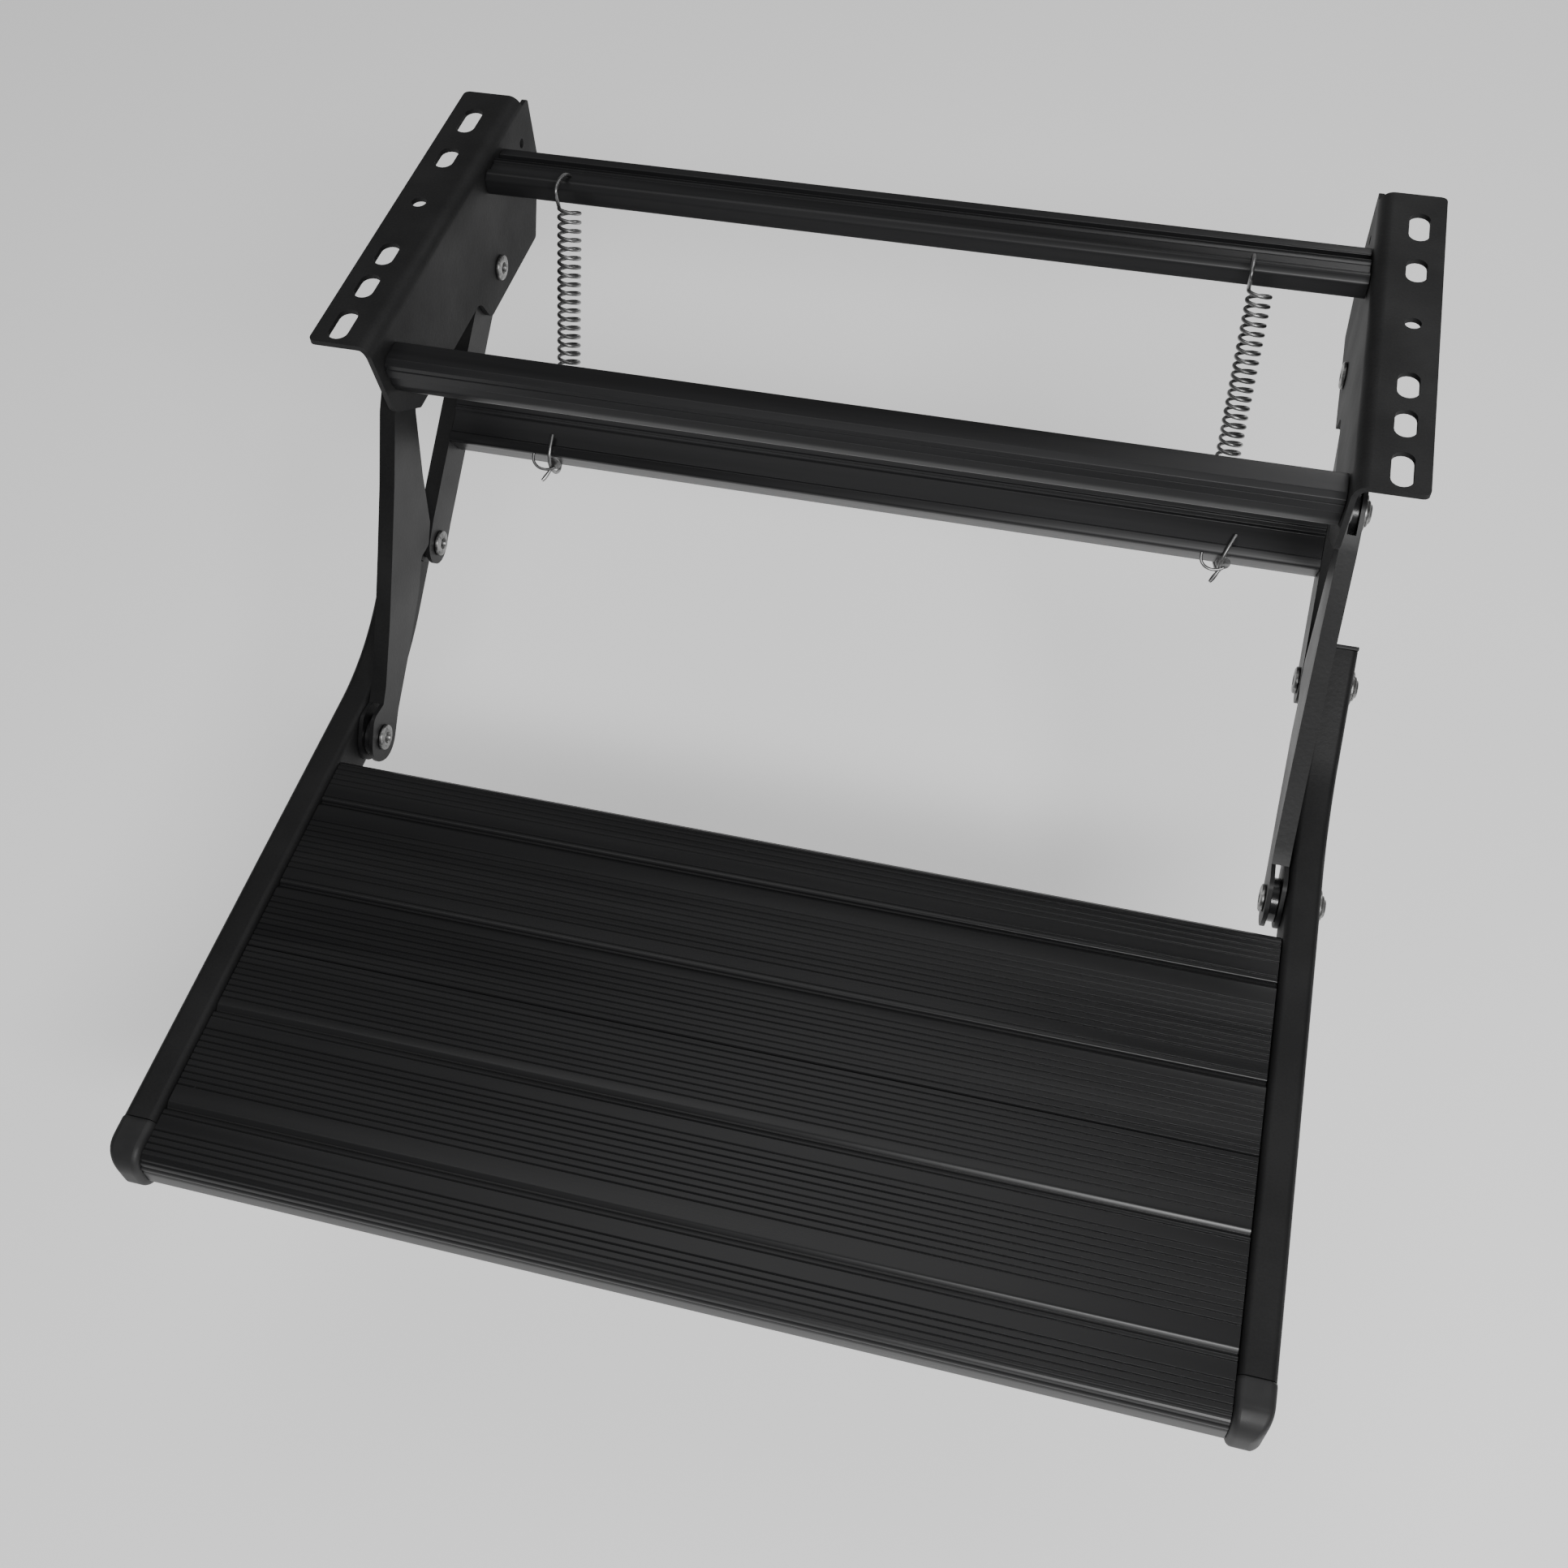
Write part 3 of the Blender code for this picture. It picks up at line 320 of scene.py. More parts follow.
def zinc_plate(name, dark, light, roughness):
    """Zinc plating: blue-grey crystal patches, dulled spots, fine turning marks."""
    material = bpy.data.materials.new(name)
    material.use_nodes = True
    tree = material.node_tree
    shader = tree.nodes["Principled BSDF"]
    shader.label = "zinc plating"
    shader.inputs["Metallic"].default_value = 1.0

    tone = tree.nodes.new("NodeFrame")
    tone.label = "crystal patches"
    relief = tree.nodes.new("NodeFrame")
    relief.label = "turning marks"
    place = tree.nodes.new("ShaderNodeTexCoord")
    place.label = "place on the rivet"
    crystals = tree.nodes.new("ShaderNodeTexVoronoi")
    crystals.label = "zinc crystals"
    crystals.inputs["Scale"].default_value = 700
    stains = tree.nodes.new("ShaderNodeTexNoise")
    stains.label = "dull stains"
    stains.inputs["Scale"].default_value = 260
    stains.inputs["Detail"].default_value = 6
    joined = tree.nodes.new("ShaderNodeMath")
    joined.label = "stains over crystals"
    joined.operation = "MULTIPLY_ADD"
    joined.inputs[1].default_value = 0.35
    ramp = tree.nodes.new("ShaderNodeValToRGB")
    ramp.label = "dull to bright zinc"
    ramp.color_ramp.elements[0].position = 0.45
    ramp.color_ramp.elements[0].color = (*dark, 1)
    ramp.color_ramp.elements[1].position = 0.85
    ramp.color_ramp.elements[1].color = (*light, 1)
    spread = tree.nodes.new("ShaderNodeMapRange")
    spread.label = "roughness range"
    spread.inputs["From Min"].default_value = 0.3
    spread.inputs["From Max"].default_value = 0.7
    spread.inputs["To Min"].default_value = roughness + 0.12
    spread.inputs["To Max"].default_value = roughness - 0.06
    marks = tree.nodes.new("ShaderNodeTexNoise")
    marks.label = "tool marks"
    marks.inputs["Scale"].default_value = 1400
    marks.inputs["Detail"].default_value = 3
    bump = tree.nodes.new("ShaderNodeBump")
    bump.label = "raise the marks"
    bump.inputs["Strength"].default_value = 0.15
    bump.inputs["Distance"].default_value = 0.0002

    tree.links.new(place.outputs["Object"], crystals.inputs["Vector"])
    tree.links.new(place.outputs["Object"], stains.inputs["Vector"])
    tree.links.new(place.outputs["Object"], marks.inputs["Vector"])
    tree.links.new(crystals.outputs["Distance"], joined.inputs[0])
    tree.links.new(stains.outputs["Fac"], joined.inputs[2])
    tree.links.new(joined.outputs["Value"], ramp.inputs["Fac"])
    tree.links.new(ramp.outputs["Color"], shader.inputs["Base Color"])
    tree.links.new(stains.outputs["Fac"], spread.inputs["Value"])
    tree.links.new(spread.outputs["Result"], shader.inputs["Roughness"])
    tree.links.new(marks.outputs["Fac"], bump.inputs["Height"])
    tree.links.new(bump.outputs["Normal"], shader.inputs["Normal"])
    for node, x, y, group in (
            (place, -1300, 0, None), (crystals, -1050, 300, tone), (stains, -1050, 20, tone),
            (joined, -800, 220, tone), (ramp, -580, 220, tone), (spread, -580, -60, tone),
            (marks, -1050, -340, relief), (bump, -580, -340, relief)):
        node.location = (x, y)
        node.parent = group
    return material


def spun(name, node, profile):
    """A turned piece: its (X, radius) profile in metres, spun about the axis of a round CAD node."""
    low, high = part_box(node)
    side = 1 if low.x > 0 else -1
    centre = Vector((0, (low.y + high.y) / 2, (low.z + high.z) / 2))
    points = [centre + Vector((side * x, 0, radius)) for x, radius in profile]
    bpy.ops.object.select_all(action="DESELECT")
    bpy.ops.mesh.primitive_plane_add(size=MM, location=points[0])
    piece = bpy.context.object
    piece.name = name
    bpy.ops.object.mode_set(mode="EDIT")
    bpy.ops.mesh.select_mode(type="VERT")
    bpy.ops.mesh.merge(type="CENTER")
    for start, end in zip(points, points[1:]):
        bpy.ops.mesh.extrude_region_move(TRANSFORM_OT_translate={"value": end - start})
    bpy.ops.mesh.select_all(action="SELECT")
    bpy.ops.mesh.spin(steps=40, angle=2 * math.pi, center=centre, axis=(1, 0, 0))
    bpy.ops.mesh.select_all(action="SELECT")
    bpy.ops.mesh.remove_doubles(threshold=0.005 * MM)
    bpy.ops.mesh.normals_make_consistent(inside=False)
    bpy.ops.object.mode_set(mode="OBJECT")
    bpy.ops.object.transform_apply(location=True, rotation=True, scale=True)
    bpy.ops.object.shade_smooth_by_angle(angle=math.radians(35))
    return piece


def turned(node, profile, material):
    """A spun piece in the place of its own CAD node."""
    return stands_for(spun(node + "_shown", node, profile), node, material)


zinc = zinc_plate("rivet_zinc", (0.12, 0.12, 0.12), (0.33, 0.33, 0.325), 0.36)


def rivet_profile(inner, shank_end, seat, end):
    """Tubular rivet: flat inner head with a deep bore, shank, and a stepped head rolled over outside."""
    bore = [(inner + 3.0, 0), (inner + 2.9, 2.5), (inner + 2.4, 3.1), (inner + 0.8, 3.3), (inner + 0.2, 3.6)]
    head = [(inner, 4.2), (inner + 0.2, 6.6), (inner + 0.7, 7.7), (inner + 1.6, 8.0), (inner + 2.3, 7.9),
            (inner + 2.5, 7.6), (inner + 2.5, 4.0)]
    outer_end = [(shank_end, 4.0), (shank_end, 0)] if shank_end else rolled_head(seat, end)
    return [(x * MM, r * MM) for x, r in bore + head + outer_end]


def rolled_head(seat, end):
    """The stepped outer head, in mm, from the shank where it seats on the washer to its middle."""
    return [(seat, 4.0), (seat, 7.0), (seat + 0.5, 7.2), (seat + 1.2, 6.9), (seat + 1.5, 6.1),
            (seat + 1.7, 5.4), (end - 0.4, 5.0), (end, 4.0), (end, 2.4), (end - 0.9, 1.7), (end - 1.1, 0)]


def span(node):
    """How far a node's inner and outer ends stand from the middle of the step, in mm."""
    low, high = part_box(node)
    return sorted((abs(low.x) / MM, abs(high.x) / MM))


ROLLED_HEIGHT = 2.8


for side in ("left", "right"):
    for stem in ("front_pivot_pin", "rear_pivot_pin", "tread_pivot_pin", "rear_link_pin"):
        inner, outer = span(f"{stem}_{side}")
        stub = outer if stem == "rear_link_pin" else 0
        profile = rivet_profile(inner, stub, outer - ROLLED_HEIGHT, outer)
        turned(f"{stem}_{side}", profile, zinc)
    inner, outer = span("rail_pin_" + side)
    outer_half = [(inner, 0), (inner, 4.0)] + rolled_head(outer - ROLLED_HEIGHT, outer)
    turned("rail_pin_" + side, [(x * MM, r * MM) for x, r in outer_half], zinc)


def ring_profile(low, high, bore, rim):
    """Washer or bush with its rim and bore edges broken."""
    edge = 0.25
    return [(x * MM, r * MM) for x, r in (
        (low, bore + edge), (low, rim - edge), (low + edge, rim), (high - edge, rim), (high, rim - edge),
        (high, bore + edge), (high - edge, bore), (low + edge, bore), (low, bore + edge))]


RING_BORE = 4.4
for side in ("left", "right"):
    for stem, rim in (("front_pivot_washer", 10.0), ("tread_pivot_washer", 10.0), ("rail_pin_washer", 10.0),
                      ("rail_pin_spacer", 7.0), ("tread_pivot_spacer", 7.0)):
        inner, outer = span(f"{stem}_{side}")
        turned(f"{stem}_{side}", ring_profile(inner, outer, RING_BORE, rim), zinc)


# ---------------------------------------------------------------- screws
# Pan-head screws in zinc-plated steel hold the crossbars' ends and, through the rails' inner
# walls, the two planks. Their heads are low domes.

def screw_profile(tip, seat, head):
    """Pan-head screw, from the tip of its shank to the crown of its dome."""
    dome = [(seat + 0.3, head), (seat + 0.9, head * 0.97), (seat + 1.5, head * 0.86),
            (seat + 2.0, head * 0.66), (seat + 2.35, head * 0.42), (seat + 2.55, head * 0.2), (seat + 2.6, 0)]
    shank = [(tip, 0), (tip + 0.8, 1.9), (tip + 1.6, 2.5), (seat, 2.5), (seat, head * 0.94)]
    return [(x * MM, r * MM) for x, r in shank + dome]


SCREW_HEAD_HEIGHT = 2.6
SCREW_HEAD_RADIUS = 5.2
screws = ["rear_crossbar_screw", "front_crossbar_screw", "link_crossbar_screw"]
screws += [f"tread_screw_{number}" for number in range(1, 5)]
for side in ("left", "right"):
    for stem in screws:
        inner, outer = span(f"{stem}_{side}")
        profile = screw_profile(inner, outer - SCREW_HEAD_HEIGHT, SCREW_HEAD_RADIUS)
        turned(f"{stem}_{side}", profile, zinc)


# ---------------------------------------------------------------- rails
# Cranked rectangular side tubes with 2 mm walls. The planks are screwed between them, and the
# links carry them. They wear the same black powder as the brackets, a little smoother.

rail_coat = powder_coat("rail_powder_coat", (0.006, 0.006, 0.0063), (0.012, 0.012, 0.0123), 0.55, 0.28)
for side in ("left", "right"):
    softened("rail_" + side, 0.3 * MM, rail_coat)


# ---------------------------------------------------------------- rail plugs and front caps
# Injection-moulded in matt black plastic and pressed into the tubes: a thin rim plate at the
# raised rear end, and a large rounded cap over the front end.

def moulded(name, dark, light, roughness):
    """Moulded plastic: fine spark-eroded grain, faint flow clouds and a soft satin sheen."""
    material = bpy.data.materials.new(name)
    material.use_nodes = True
    tree = material.node_tree
    shader = tree.nodes["Principled BSDF"]
    shader.label = "plastic skin"
    shader.inputs["Specular IOR Level"].default_value = 0.4

    tone = tree.nodes.new("NodeFrame")
    tone.label = "flow of the plastic"
    grain = tree.nodes.new("NodeFrame")
    grain.label = "mould grain"
    place = tree.nodes.new("ShaderNodeTexCoord")
    place.label = "place on the cap"
    flow = tree.nodes.new("ShaderNodeTexNoise")
    flow.label = "flow clouds"
    flow.inputs["Scale"].default_value = 55
    flow.inputs["Detail"].default_value = 5
    ramp = tree.nodes.new("ShaderNodeValToRGB")
    ramp.label = "dark to light plastic"
    ramp.color_ramp.elements[0].position = 0.35
    ramp.color_ramp.elements[0].color = (*dark, 1)
    ramp.color_ramp.elements[1].position = 0.7
    ramp.color_ramp.elements[1].color = (*light, 1)
    spread = tree.nodes.new("ShaderNodeMapRange")
    spread.label = "roughness range"
    spread.inputs["From Min"].default_value = 0.3
    spread.inputs["From Max"].default_value = 0.7
    spread.inputs["To Min"].default_value = roughness - 0.05
    spread.inputs["To Max"].default_value = roughness + 0.05
    pits = tree.nodes.new("ShaderNodeTexNoise")
    pits.label = "grain pits"
    pits.inputs["Scale"].default_value = 1600
    pits.inputs["Detail"].default_value = 2
    bump = tree.nodes.new("ShaderNodeBump")
    bump.label = "sink the pits"
    bump.inputs["Strength"].default_value = 0.3
    bump.inputs["Distance"].default_value = 0.00015

    tree.links.new(place.outputs["Object"], flow.inputs["Vector"])
    tree.links.new(place.outputs["Object"], pits.inputs["Vector"])
    tree.links.new(flow.outputs["Fac"], ramp.inputs["Fac"])
    tree.links.new(ramp.outputs["Color"], shader.inputs["Base Color"])
    tree.links.new(flow.outputs["Fac"], spread.inputs["Value"])
    tree.links.new(spread.outputs["Result"], shader.inputs["Roughness"])
    tree.links.new(pits.outputs["Fac"], bump.inputs["Height"])
    tree.links.new(bump.outputs["Normal"], shader.inputs["Normal"])
    for node, x, y, group in (
            (place, -1150, 0, None), (flow, -900, 200, tone), (ramp, -640, 240, tone),
            (spread, -640, -20, tone), (pits, -900, -340, grain), (bump, -640, -340, grain)):
        node.location = (x, y)
        node.parent = group
    return material


plastic = moulded("cap_plastic", (0.013, 0.013, 0.0135), (0.021, 0.021, 0.0215), 0.55)
CORNER = 3.5 * MM
NOSE_TAPER = 8 * MM
STRAIGHT_PART = 0.35
SLICES = 16


def round_cap_corners(cap, low, high, joint):
    """Round the edges of a cap's side faces ahead of the joint with its rail."""
    bpy.ops.object.select_all(action="DESELECT")
    cap.select_set(True)
    bpy.context.view_layer.objects.active = cap
    bpy.ops.object.mode_set(mode="EDIT")
    bpy.ops.mesh.select_mode(type="EDGE")
    bpy.ops.mesh.select_all(action="SELECT")
    bpy.ops.mesh.remove_doubles(threshold=0.9 * MM)
    bpy.ops.mesh.select_all(action="DESELECT")
    bpy.ops.object.mode_set(mode="OBJECT")
    for edge in cap.data.edges:
        ends = [cap.data.vertices[index].co for index in edge.vertices]
        on_side = all(min(abs(end.x - low.x), abs(end.x - high.x)) < 0.1 * MM for end in ends)
        edge.select = on_side and abs(ends[0].x - ends[1].x) < CORNER and min(end.y for end in ends) < joint
    bpy.ops.object.mode_set(mode="EDIT")
    bpy.ops.mesh.bevel(offset=CORNER, segments=5, clamp_overlap=True)


def taper_cap_nose(cap, low, high, joint):
    """Slice the cap across, and draw the outer half of each slice in on a quarter round."""
    for step in range(1, SLICES):
        bpy.ops.mesh.select_all(action="SELECT")
        cut = joint + (low.y - joint) * step / SLICES
        bpy.ops.mesh.bisect(plane_co=(0, cut, 0), plane_no=(0, 1, 0))
    bpy.ops.object.mode_set(mode="OBJECT")
    outward = 1 if low.x > 0 else -1
    middle = (low.x + high.x) / 2
    for corner in cap.data.vertices:
        reach = (joint - corner.co.y) / (joint - low.y)
        ahead = max(0.0, reach - STRAIGHT_PART) / (1 - STRAIGHT_PART)
        outside = max(0.0, outward * (corner.co.x - middle)) / (high.x - low.x) * 2
        corner.co.x -= outward * outside * NOSE_TAPER * (1 - math.sqrt(max(0.0, 1 - ahead * ahead)))
    bpy.ops.object.shade_smooth_by_angle(angle=math.radians(35))


for side in ("left", "right"):
    softened("rail_end_plug_" + side, 0.5 * MM, plastic)
    low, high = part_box("front_cap_" + side)
    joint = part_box("rail_" + side)[0].y - 1 * MM
    cap = softened("front_cap_" + side, 0, plastic)
    round_cap_corners(cap, low, high, joint)
    taper_cap_nose(cap, low, high, joint)


# ---------------------------------------------------------------- bushes
# Black nylon bushes keep each link's two webs apart round its rivets, and show between them as
# glossy discs.

nylon = moulded("bush_nylon", (0.01, 0.01, 0.0105), (0.018, 0.018, 0.0185), 0.25)
FRONT_RIM = 12.5
REAR_RIM = 10.5
for side in ("left", "right"):
    for stem, rim in (("tread_pivot_bush", FRONT_RIM), ("rear_link_bush", REAR_RIM)):
        inner, outer = span(f"{stem}_{side}")
        turned(f"{stem}_{side}", ring_profile(inner, outer, RING_BORE, rim), nylon)
    upper_ring = ring_profile(inner, outer, RING_BORE, FRONT_RIM)
    upper = spun("front_pivot_bush_" + side, "front_pivot_washer_" + side, upper_ring)
    upper.data.materials.append(nylon)
    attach(upper, "front_links")


# ---------------------------------------------------------------- planks
# The tread's two ribbed boards are one black anodised aluminium extrusion, cut twice and turned
# end for end, so that the fine lines and the drain grooves mirror about the seam between them.

tread_skin = extruded("tread_anodising", (0.008, 0.008, 0.0085), (0.015, 0.015, 0.0155), 0.3, 0.08)
for plank in ("tread_plank_front", "tread_plank_rear"):
    softened(plank, 0.15 * MM, tread_skin)


# ---------------------------------------------------------------- springs
# Two tension springs of 2 mm wire, hooked into the rear bar above and round the link bar below.
# They pull on the rear links and swing with them.

def drawn_wire(name, dark, light, roughness):
    """Drawn spring wire: grey steel with darker oil stains and fine draw marks."""
    material = bpy.data.materials.new(name)
    material.use_nodes = True
    tree = material.node_tree
    shader = tree.nodes["Principled BSDF"]
    shader.label = "spring wire"
    shader.inputs["Metallic"].default_value = 1.0

    tone = tree.nodes.new("NodeFrame")
    tone.label = "oil and oxide"
    relief = tree.nodes.new("NodeFrame")
    relief.label = "draw marks"
    place = tree.nodes.new("ShaderNodeTexCoord")
    place.label = "place on the wire"
    stains = tree.nodes.new("ShaderNodeTexNoise")
    stains.label = "oil stains"
    stains.inputs["Scale"].default_value = 120
    stains.inputs["Detail"].default_value = 6
    ramp = tree.nodes.new("ShaderNodeValToRGB")
    ramp.label = "stained to clean"
    ramp.color_ramp.elements[0].position = 0.36
    ramp.color_ramp.elements[0].color = (*dark, 1)
    ramp.color_ramp.elements[1].position = 0.66
    ramp.color_ramp.elements[1].color = (*light, 1)
    spread = tree.nodes.new("ShaderNodeMapRange")
    spread.label = "roughness range"
    spread.inputs["From Min"].default_value = 0.3
    spread.inputs["From Max"].default_value = 0.7
    spread.inputs["To Min"].default_value = roughness + 0.1
    spread.inputs["To Max"].default_value = roughness - 0.05
    marks = tree.nodes.new("ShaderNodeTexNoise")
    marks.label = "fine marks"
    marks.inputs["Scale"].default_value = 2200
    marks.inputs["Detail"].default_value = 2
    bump = tree.nodes.new("ShaderNodeBump")
    bump.label = "raise the marks"
    bump.inputs["Strength"].default_value = 0.2
    bump.inputs["Distance"].default_value = 0.0001

    tree.links.new(place.outputs["Object"], stains.inputs["Vector"])
    tree.links.new(place.outputs["Object"], marks.inputs["Vector"])
    tree.links.new(stains.outputs["Fac"], ramp.inputs["Fac"])
    tree.links.new(ramp.outputs["Color"], shader.inputs["Base Color"])
    tree.links.new(stains.outputs["Fac"], spread.inputs["Value"])
    tree.links.new(spread.outputs["Result"], shader.inputs["Roughness"])
    tree.links.new(marks.outputs["Fac"], bump.inputs["Height"])
    tree.links.new(bump.outputs["Normal"], shader.inputs["Normal"])
    for node, x, y, group in (
            (place, -1150, 0, None), (stains, -900, 200, tone), (ramp, -640, 240, tone),
            (spread, -640, -20, tone), (marks, -900, -340, relief), (bump, -640, -340, relief)):
        node.location = (x, y)
        node.parent = group
    return material


def wire(name, points, thickness, material, resolution=3, flattened=()):
    """Round wire along points in metres, smoothed between them; flattened lists wider last points."""
    bpy.ops.object.select_all(action="DESELECT")
    bpy.ops.curve.primitive_nurbs_path_add(location=(0, 0, 0))
    piece = bpy.context.object
    piece.name = name
    curve = piece.data
    curve.splines.clear()
    spline = curve.splines.new("NURBS")
    spline.points.add(len(points) - 1)
    for spot, point in zip(spline.points, points):
        spot.co = (*point, 1)
    for spot, width in zip(reversed(spline.points), flattened):
        spot.radius = width
    spline.order_u = 4
    spline.use_endpoint_u = True
    spline.resolution_u = resolution
    curve.bevel_depth = thickness / 2
    curve.bevel_resolution = 3
    curve.use_fill_caps = True
    bpy.ops.object.convert(target="MESH")
    bpy.ops.object.shade_smooth_by_angle(angle=math.radians(50))
    piece.data.materials.clear()
    piece.data.materials.append(material)
    return piece


SPRING_X = 205 * MM
COIL_TURNS = 22
COIL_STEPS = 16
COIL_RADIUS = 6.5 * MM
COIL_START = 12
COIL_LENGTH = 118
WIRE = 2.3 * MM
coil_top = Vector((0, 170, -6)) * MM
coil_foot = Vector((0, 104, -150)) * MM
rear_pivot = Vector((0, 172.8, -74.1)) * MM
rail_pivot = Vector((0, 19.8, -171.2)) * MM


def on_link(distance, offset):
    """Point at a distance in mm from the rear pivot along the rear link, and an offset to its front."""
    run = (rail_pivot - rear_pivot).normalized()
    front = Vector((0, run.z, -run.y))
    return rear_pivot + (run * distance + front * offset) * MM


def spring_path(centre, slant):
    """Open top hook, the coil, and the lower hook round the link bar's edge up to its front face."""
    run = (coil_foot - coil_top).normalized()
    across = Vector((0, -run.z, run.y))
    path = [Vector((centre - COIL_RADIUS, y * MM, z * MM)) for y, z in (
        (190.5, -13.5), (187.5, -10.5), (184, -7.2), (179, -4.4), (173, -2.6), (167, -2.6), (163.2, -5),
        (162.4, -9))]
    steps = COIL_TURNS * COIL_STEPS
    for step in range(steps + 1):
        turn = 2 * math.pi * step / COIL_STEPS
        down = run * (COIL_START + COIL_LENGTH * step / steps) * MM
        spot = coil_top + down - across * COIL_RADIUS * math.sin(turn)
        path.append(Vector((centre - COIL_RADIUS * math.cos(turn), spot.y, spot.z)))
    path += [Vector((centre + aside * MM, 0, 0)) + on_link(s, w) for aside, s, w in (
        (-4, 92, -18), (-1, 104, -16.5), (2, 114, -13.5), (4.5, 121, -9), (5.5, 125.5, -2), (6, 126.5, 6),
        (6, 125.6, 13), (6, 122.5, 18.5), (6 + slant / 3, 117, 21), (6 + slant, 107, 20.2))]
    return path


spring_wire = drawn_wire("spring_wire", (0.14, 0.14, 0.14), (0.36, 0.36, 0.36), 0.36)
for side, centre, slant in (("left", -SPRING_X, 0), ("right", SPRING_X, 6)):
    spring = wire(f"spring_{side}_shown", spring_path(centre, slant), WIRE, spring_wire)
    stands_for(spring, "spring_" + side, spring_wire)
    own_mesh(spring)


# ---------------------------------------------------------------- spring tabs
# A pressed oval tab is threaded on each lower hook, tied with a loop of thin wire whose twisted
# tail hangs free. Both are plain zinc-plated steel.

TAB_RADIUS = 4.4 * MM
TAB_THICKNESS = 1.2 * MM
TIE_WIRE = 1.8 * MM
tab_zinc = zinc_plate("tab_zinc", (0.13, 0.13, 0.13), (0.3, 0.3, 0.3), 0.42)
tilt = (rail_pivot - rear_pivot).to_track_quat("Z", "X").to_euler()
for side, centre in (("left", -SPRING_X), ("right", SPRING_X)):
    middle = on_link(122.6, 12) + Vector((centre + 7.5 * MM, 0, 0))
    bpy.ops.object.select_all(action="DESELECT")
    bpy.ops.mesh.primitive_cylinder_add(
        vertices=32, radius=TAB_RADIUS, depth=TAB_THICKNESS, location=middle, rotation=tilt)
    tab = bpy.context.object
    tab.name = f"spring_tab_{side}_shown"
    bpy.ops.transform.rotate(value=math.radians(40), orient_axis="X", center_override=middle)
    bpy.ops.transform.resize(value=(1, 0.6, 1), center_override=middle)
    bpy.ops.object.transform_apply(location=True, rotation=True, scale=True)
    bevel = tab.modifiers.new("rolled edge", "BEVEL")
    bevel.width = 0.4 * MM
    bevel.segments = 3
    bevel.limit_method = "ANGLE"
    bpy.ops.object.modifier_apply(modifier="rolled edge")
    bpy.ops.object.shade_smooth_by_angle(angle=math.radians(40))
    stands_for(tab, "spring_tab_" + side, tab_zinc)

    tail = [Vector((centre + aside * MM, 0, 0)) + on_link(s, w) for aside, s, w in (
        (-5, 117, 16), (-6, 122, 15.5), (-4, 126, 14.5), (1, 128, 13.5), (6.5, 127, 13), (9.5, 124.5, 13),
        (6.5, 126.5, 12.5), (5, 129, 12), (3.5, 132, 11.5), (2, 134.5, 12))]
    tie = wire(f"tab_tie_{side}", tail, TIE_WIRE, spring_wire, 6, (1.1, 1.7, 1.2))
    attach(tie, "rear_links")


# ---------------------------------------------------------------- floor
# A plain pale floor below the step, wide enough to fill every view. It isn't part of the step.

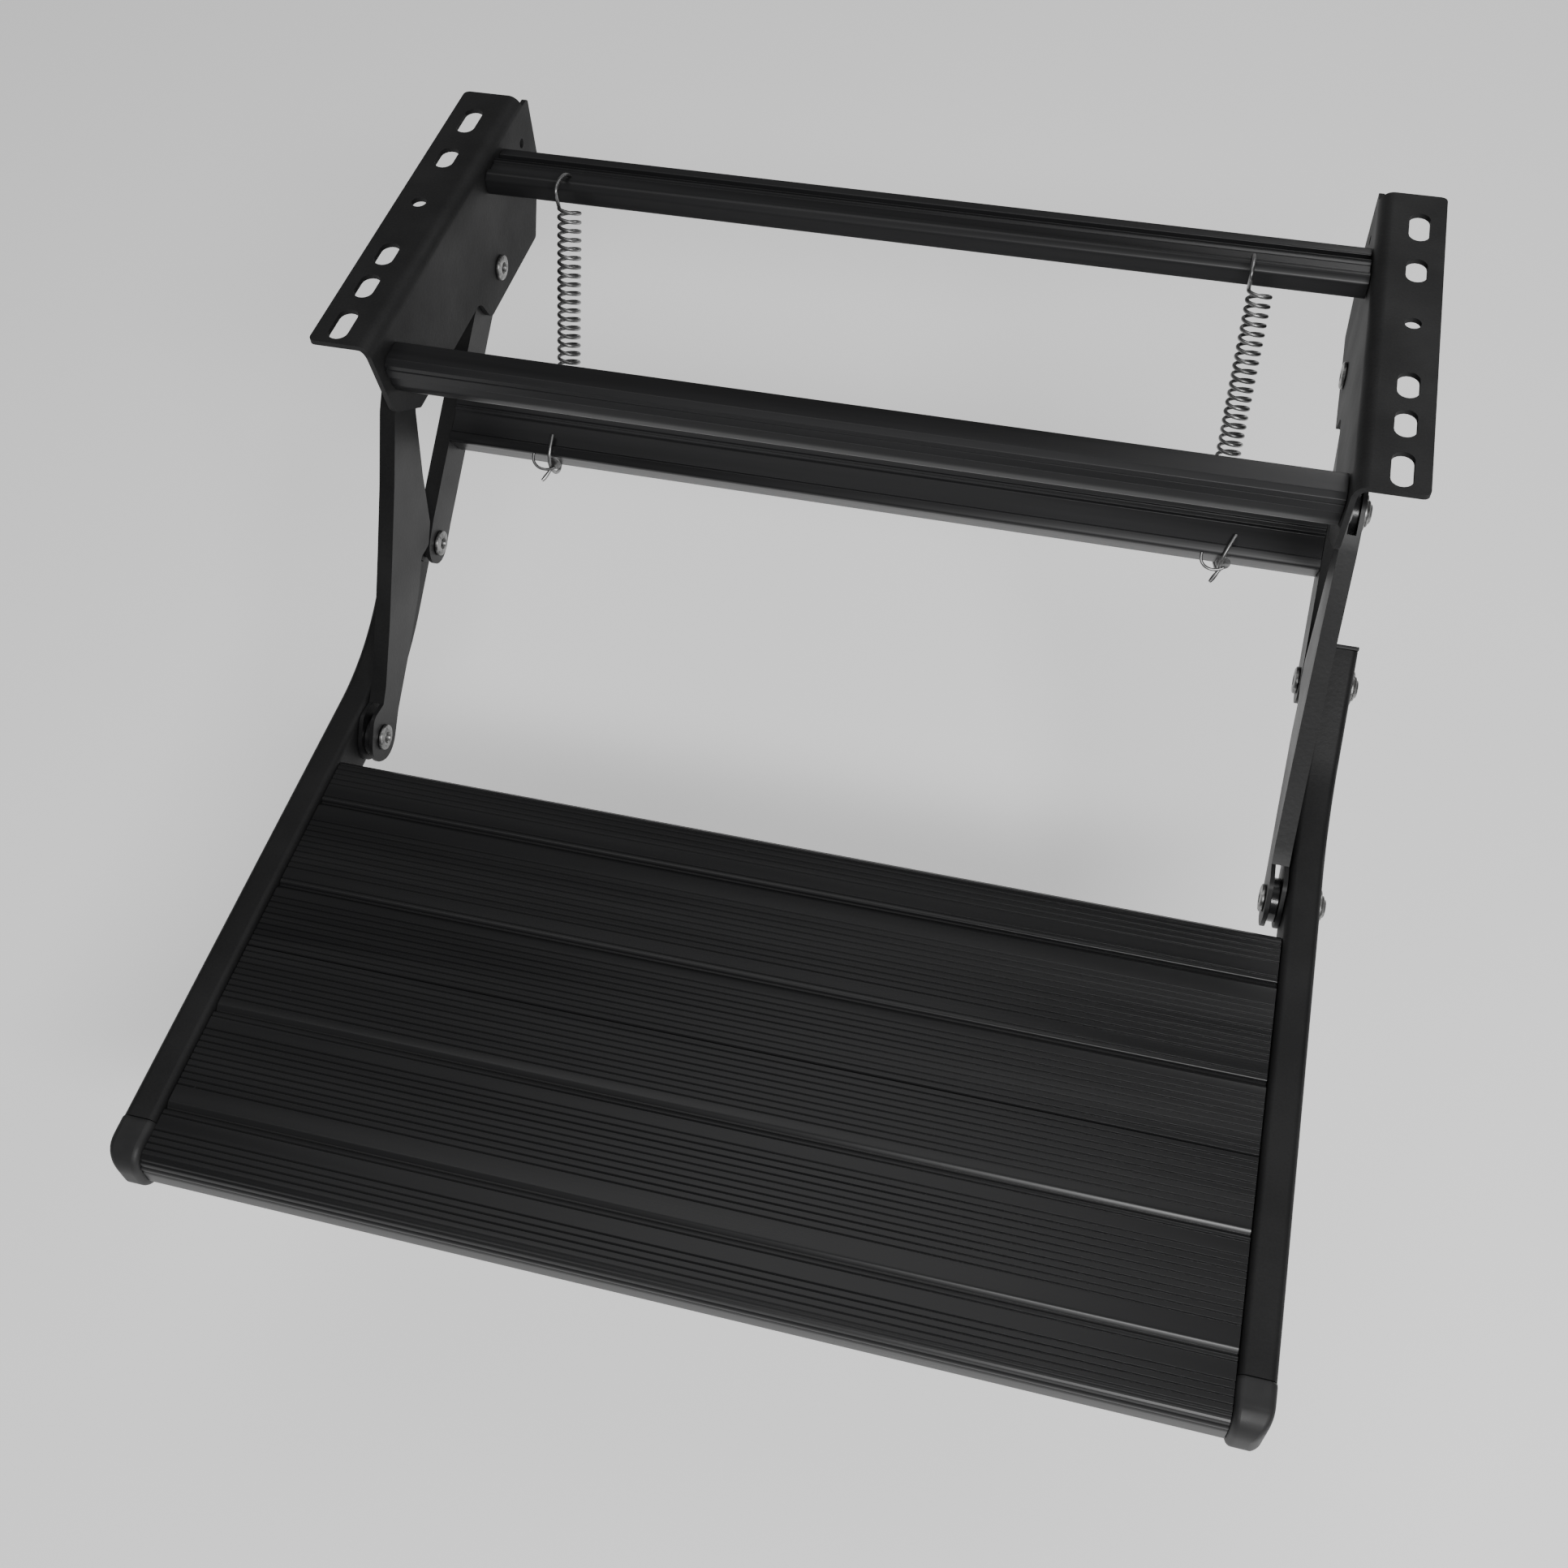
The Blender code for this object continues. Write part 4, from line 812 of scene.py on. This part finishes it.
def pale_floor(name):
    """Near-white paint with barely visible clouds."""
    material = bpy.data.materials.new(name)
    material.use_nodes = True
    tree = material.node_tree
    shader = tree.nodes["Principled BSDF"]
    shader.label = "pale paint"
    shader.inputs["Roughness"].default_value = 0.9
    shader.inputs["Emission Color"].default_value = (1, 1, 1, 1)
    shader.inputs["Emission Strength"].default_value = 0.4
    place = tree.nodes.new("ShaderNodeTexCoord")
    place.label = "place on the floor"
    clouds = tree.nodes.new("ShaderNodeTexNoise")
    clouds.label = "paint clouds"
    clouds.inputs["Scale"].default_value = 2
    ramp = tree.nodes.new("ShaderNodeValToRGB")
    ramp.label = "two near whites"
    ramp.color_ramp.elements[0].color = (0.93, 0.93, 0.93, 1)
    ramp.color_ramp.elements[1].color = (0.95, 0.95, 0.95, 1)
    tree.links.new(place.outputs["Object"], clouds.inputs["Vector"])
    tree.links.new(clouds.outputs["Fac"], ramp.inputs["Fac"])
    tree.links.new(ramp.outputs["Color"], shader.inputs["Base Color"])
    for node, x, y in ((place, -900, 0), (clouds, -680, 0), (ramp, -420, 0)):
        node.location = (x, y)
    return material


HANGING_HEIGHT = 250 * MM
bpy.ops.object.select_all(action="DESELECT")
bpy.ops.mesh.primitive_plane_add(size=16, location=(0, 0, cad_box[0].z - HANGING_HEIGHT))
floor = bpy.context.object
floor.name = "floor"
floor.data.materials.append(pale_floor("pale_floor"))


# ---------------------------------------------------------------- light
# A dim even surround, a broad soft light above, a soft box in front on the right that draws the
# bright lines along the grooves, and one behind on the right that lifts the crossbars' tops.

world = bpy.data.worlds.new("studio")
bpy.context.scene.world = world
world.use_nodes = True
surround = world.node_tree.nodes["Background"]
surround.inputs["Color"].default_value = (1, 1, 1, 1)
surround.inputs["Strength"].default_value = 0.16


def soft_light(name, place, aim, size, power):
    """Rectangular soft box, turned to face the point it lights."""
    bpy.ops.object.select_all(action="DESELECT")
    bpy.ops.object.light_add(type="AREA", location=place)
    light = bpy.context.object
    light.name = name
    light.data.shape = "RECTANGLE"
    light.data.size, light.data.size_y = size
    light.data.energy = power
    light.rotation_euler = (Vector(aim) - Vector(place)).to_track_quat("-Z", "Y").to_euler()


soft_light("soft_top", (-0.4, 0.2, 2.4), (0, -0.1, -0.15), (2.0, 1.2), 12)
soft_light("front_right", (0.6, -1.25, 1.05), (0.25, -0.3, -0.2), (0.9, 0.2), 26)
soft_light("rear_right", (0.75, 1.5, 1.35), (0.2, 0.0, -0.1), (0.9, 0.6), 8)


# ---------------------------------------------------------------- camera
# Above and in front, a little to the right, looking down across the tread at the brackets.

bpy.ops.object.camera_add(location=(0.17470, -0.67740, 0.61510))
camera = bpy.context.object
camera.name = "camera"
camera.rotation_euler = [math.radians(angle) for angle in (36.7287, 2.5232, 14.4468)]
camera.data.sensor_width = 36
camera.data.lens = 40.14
camera.data.clip_start = 0.01
camera.data.clip_end = 100
bpy.context.scene.camera = camera
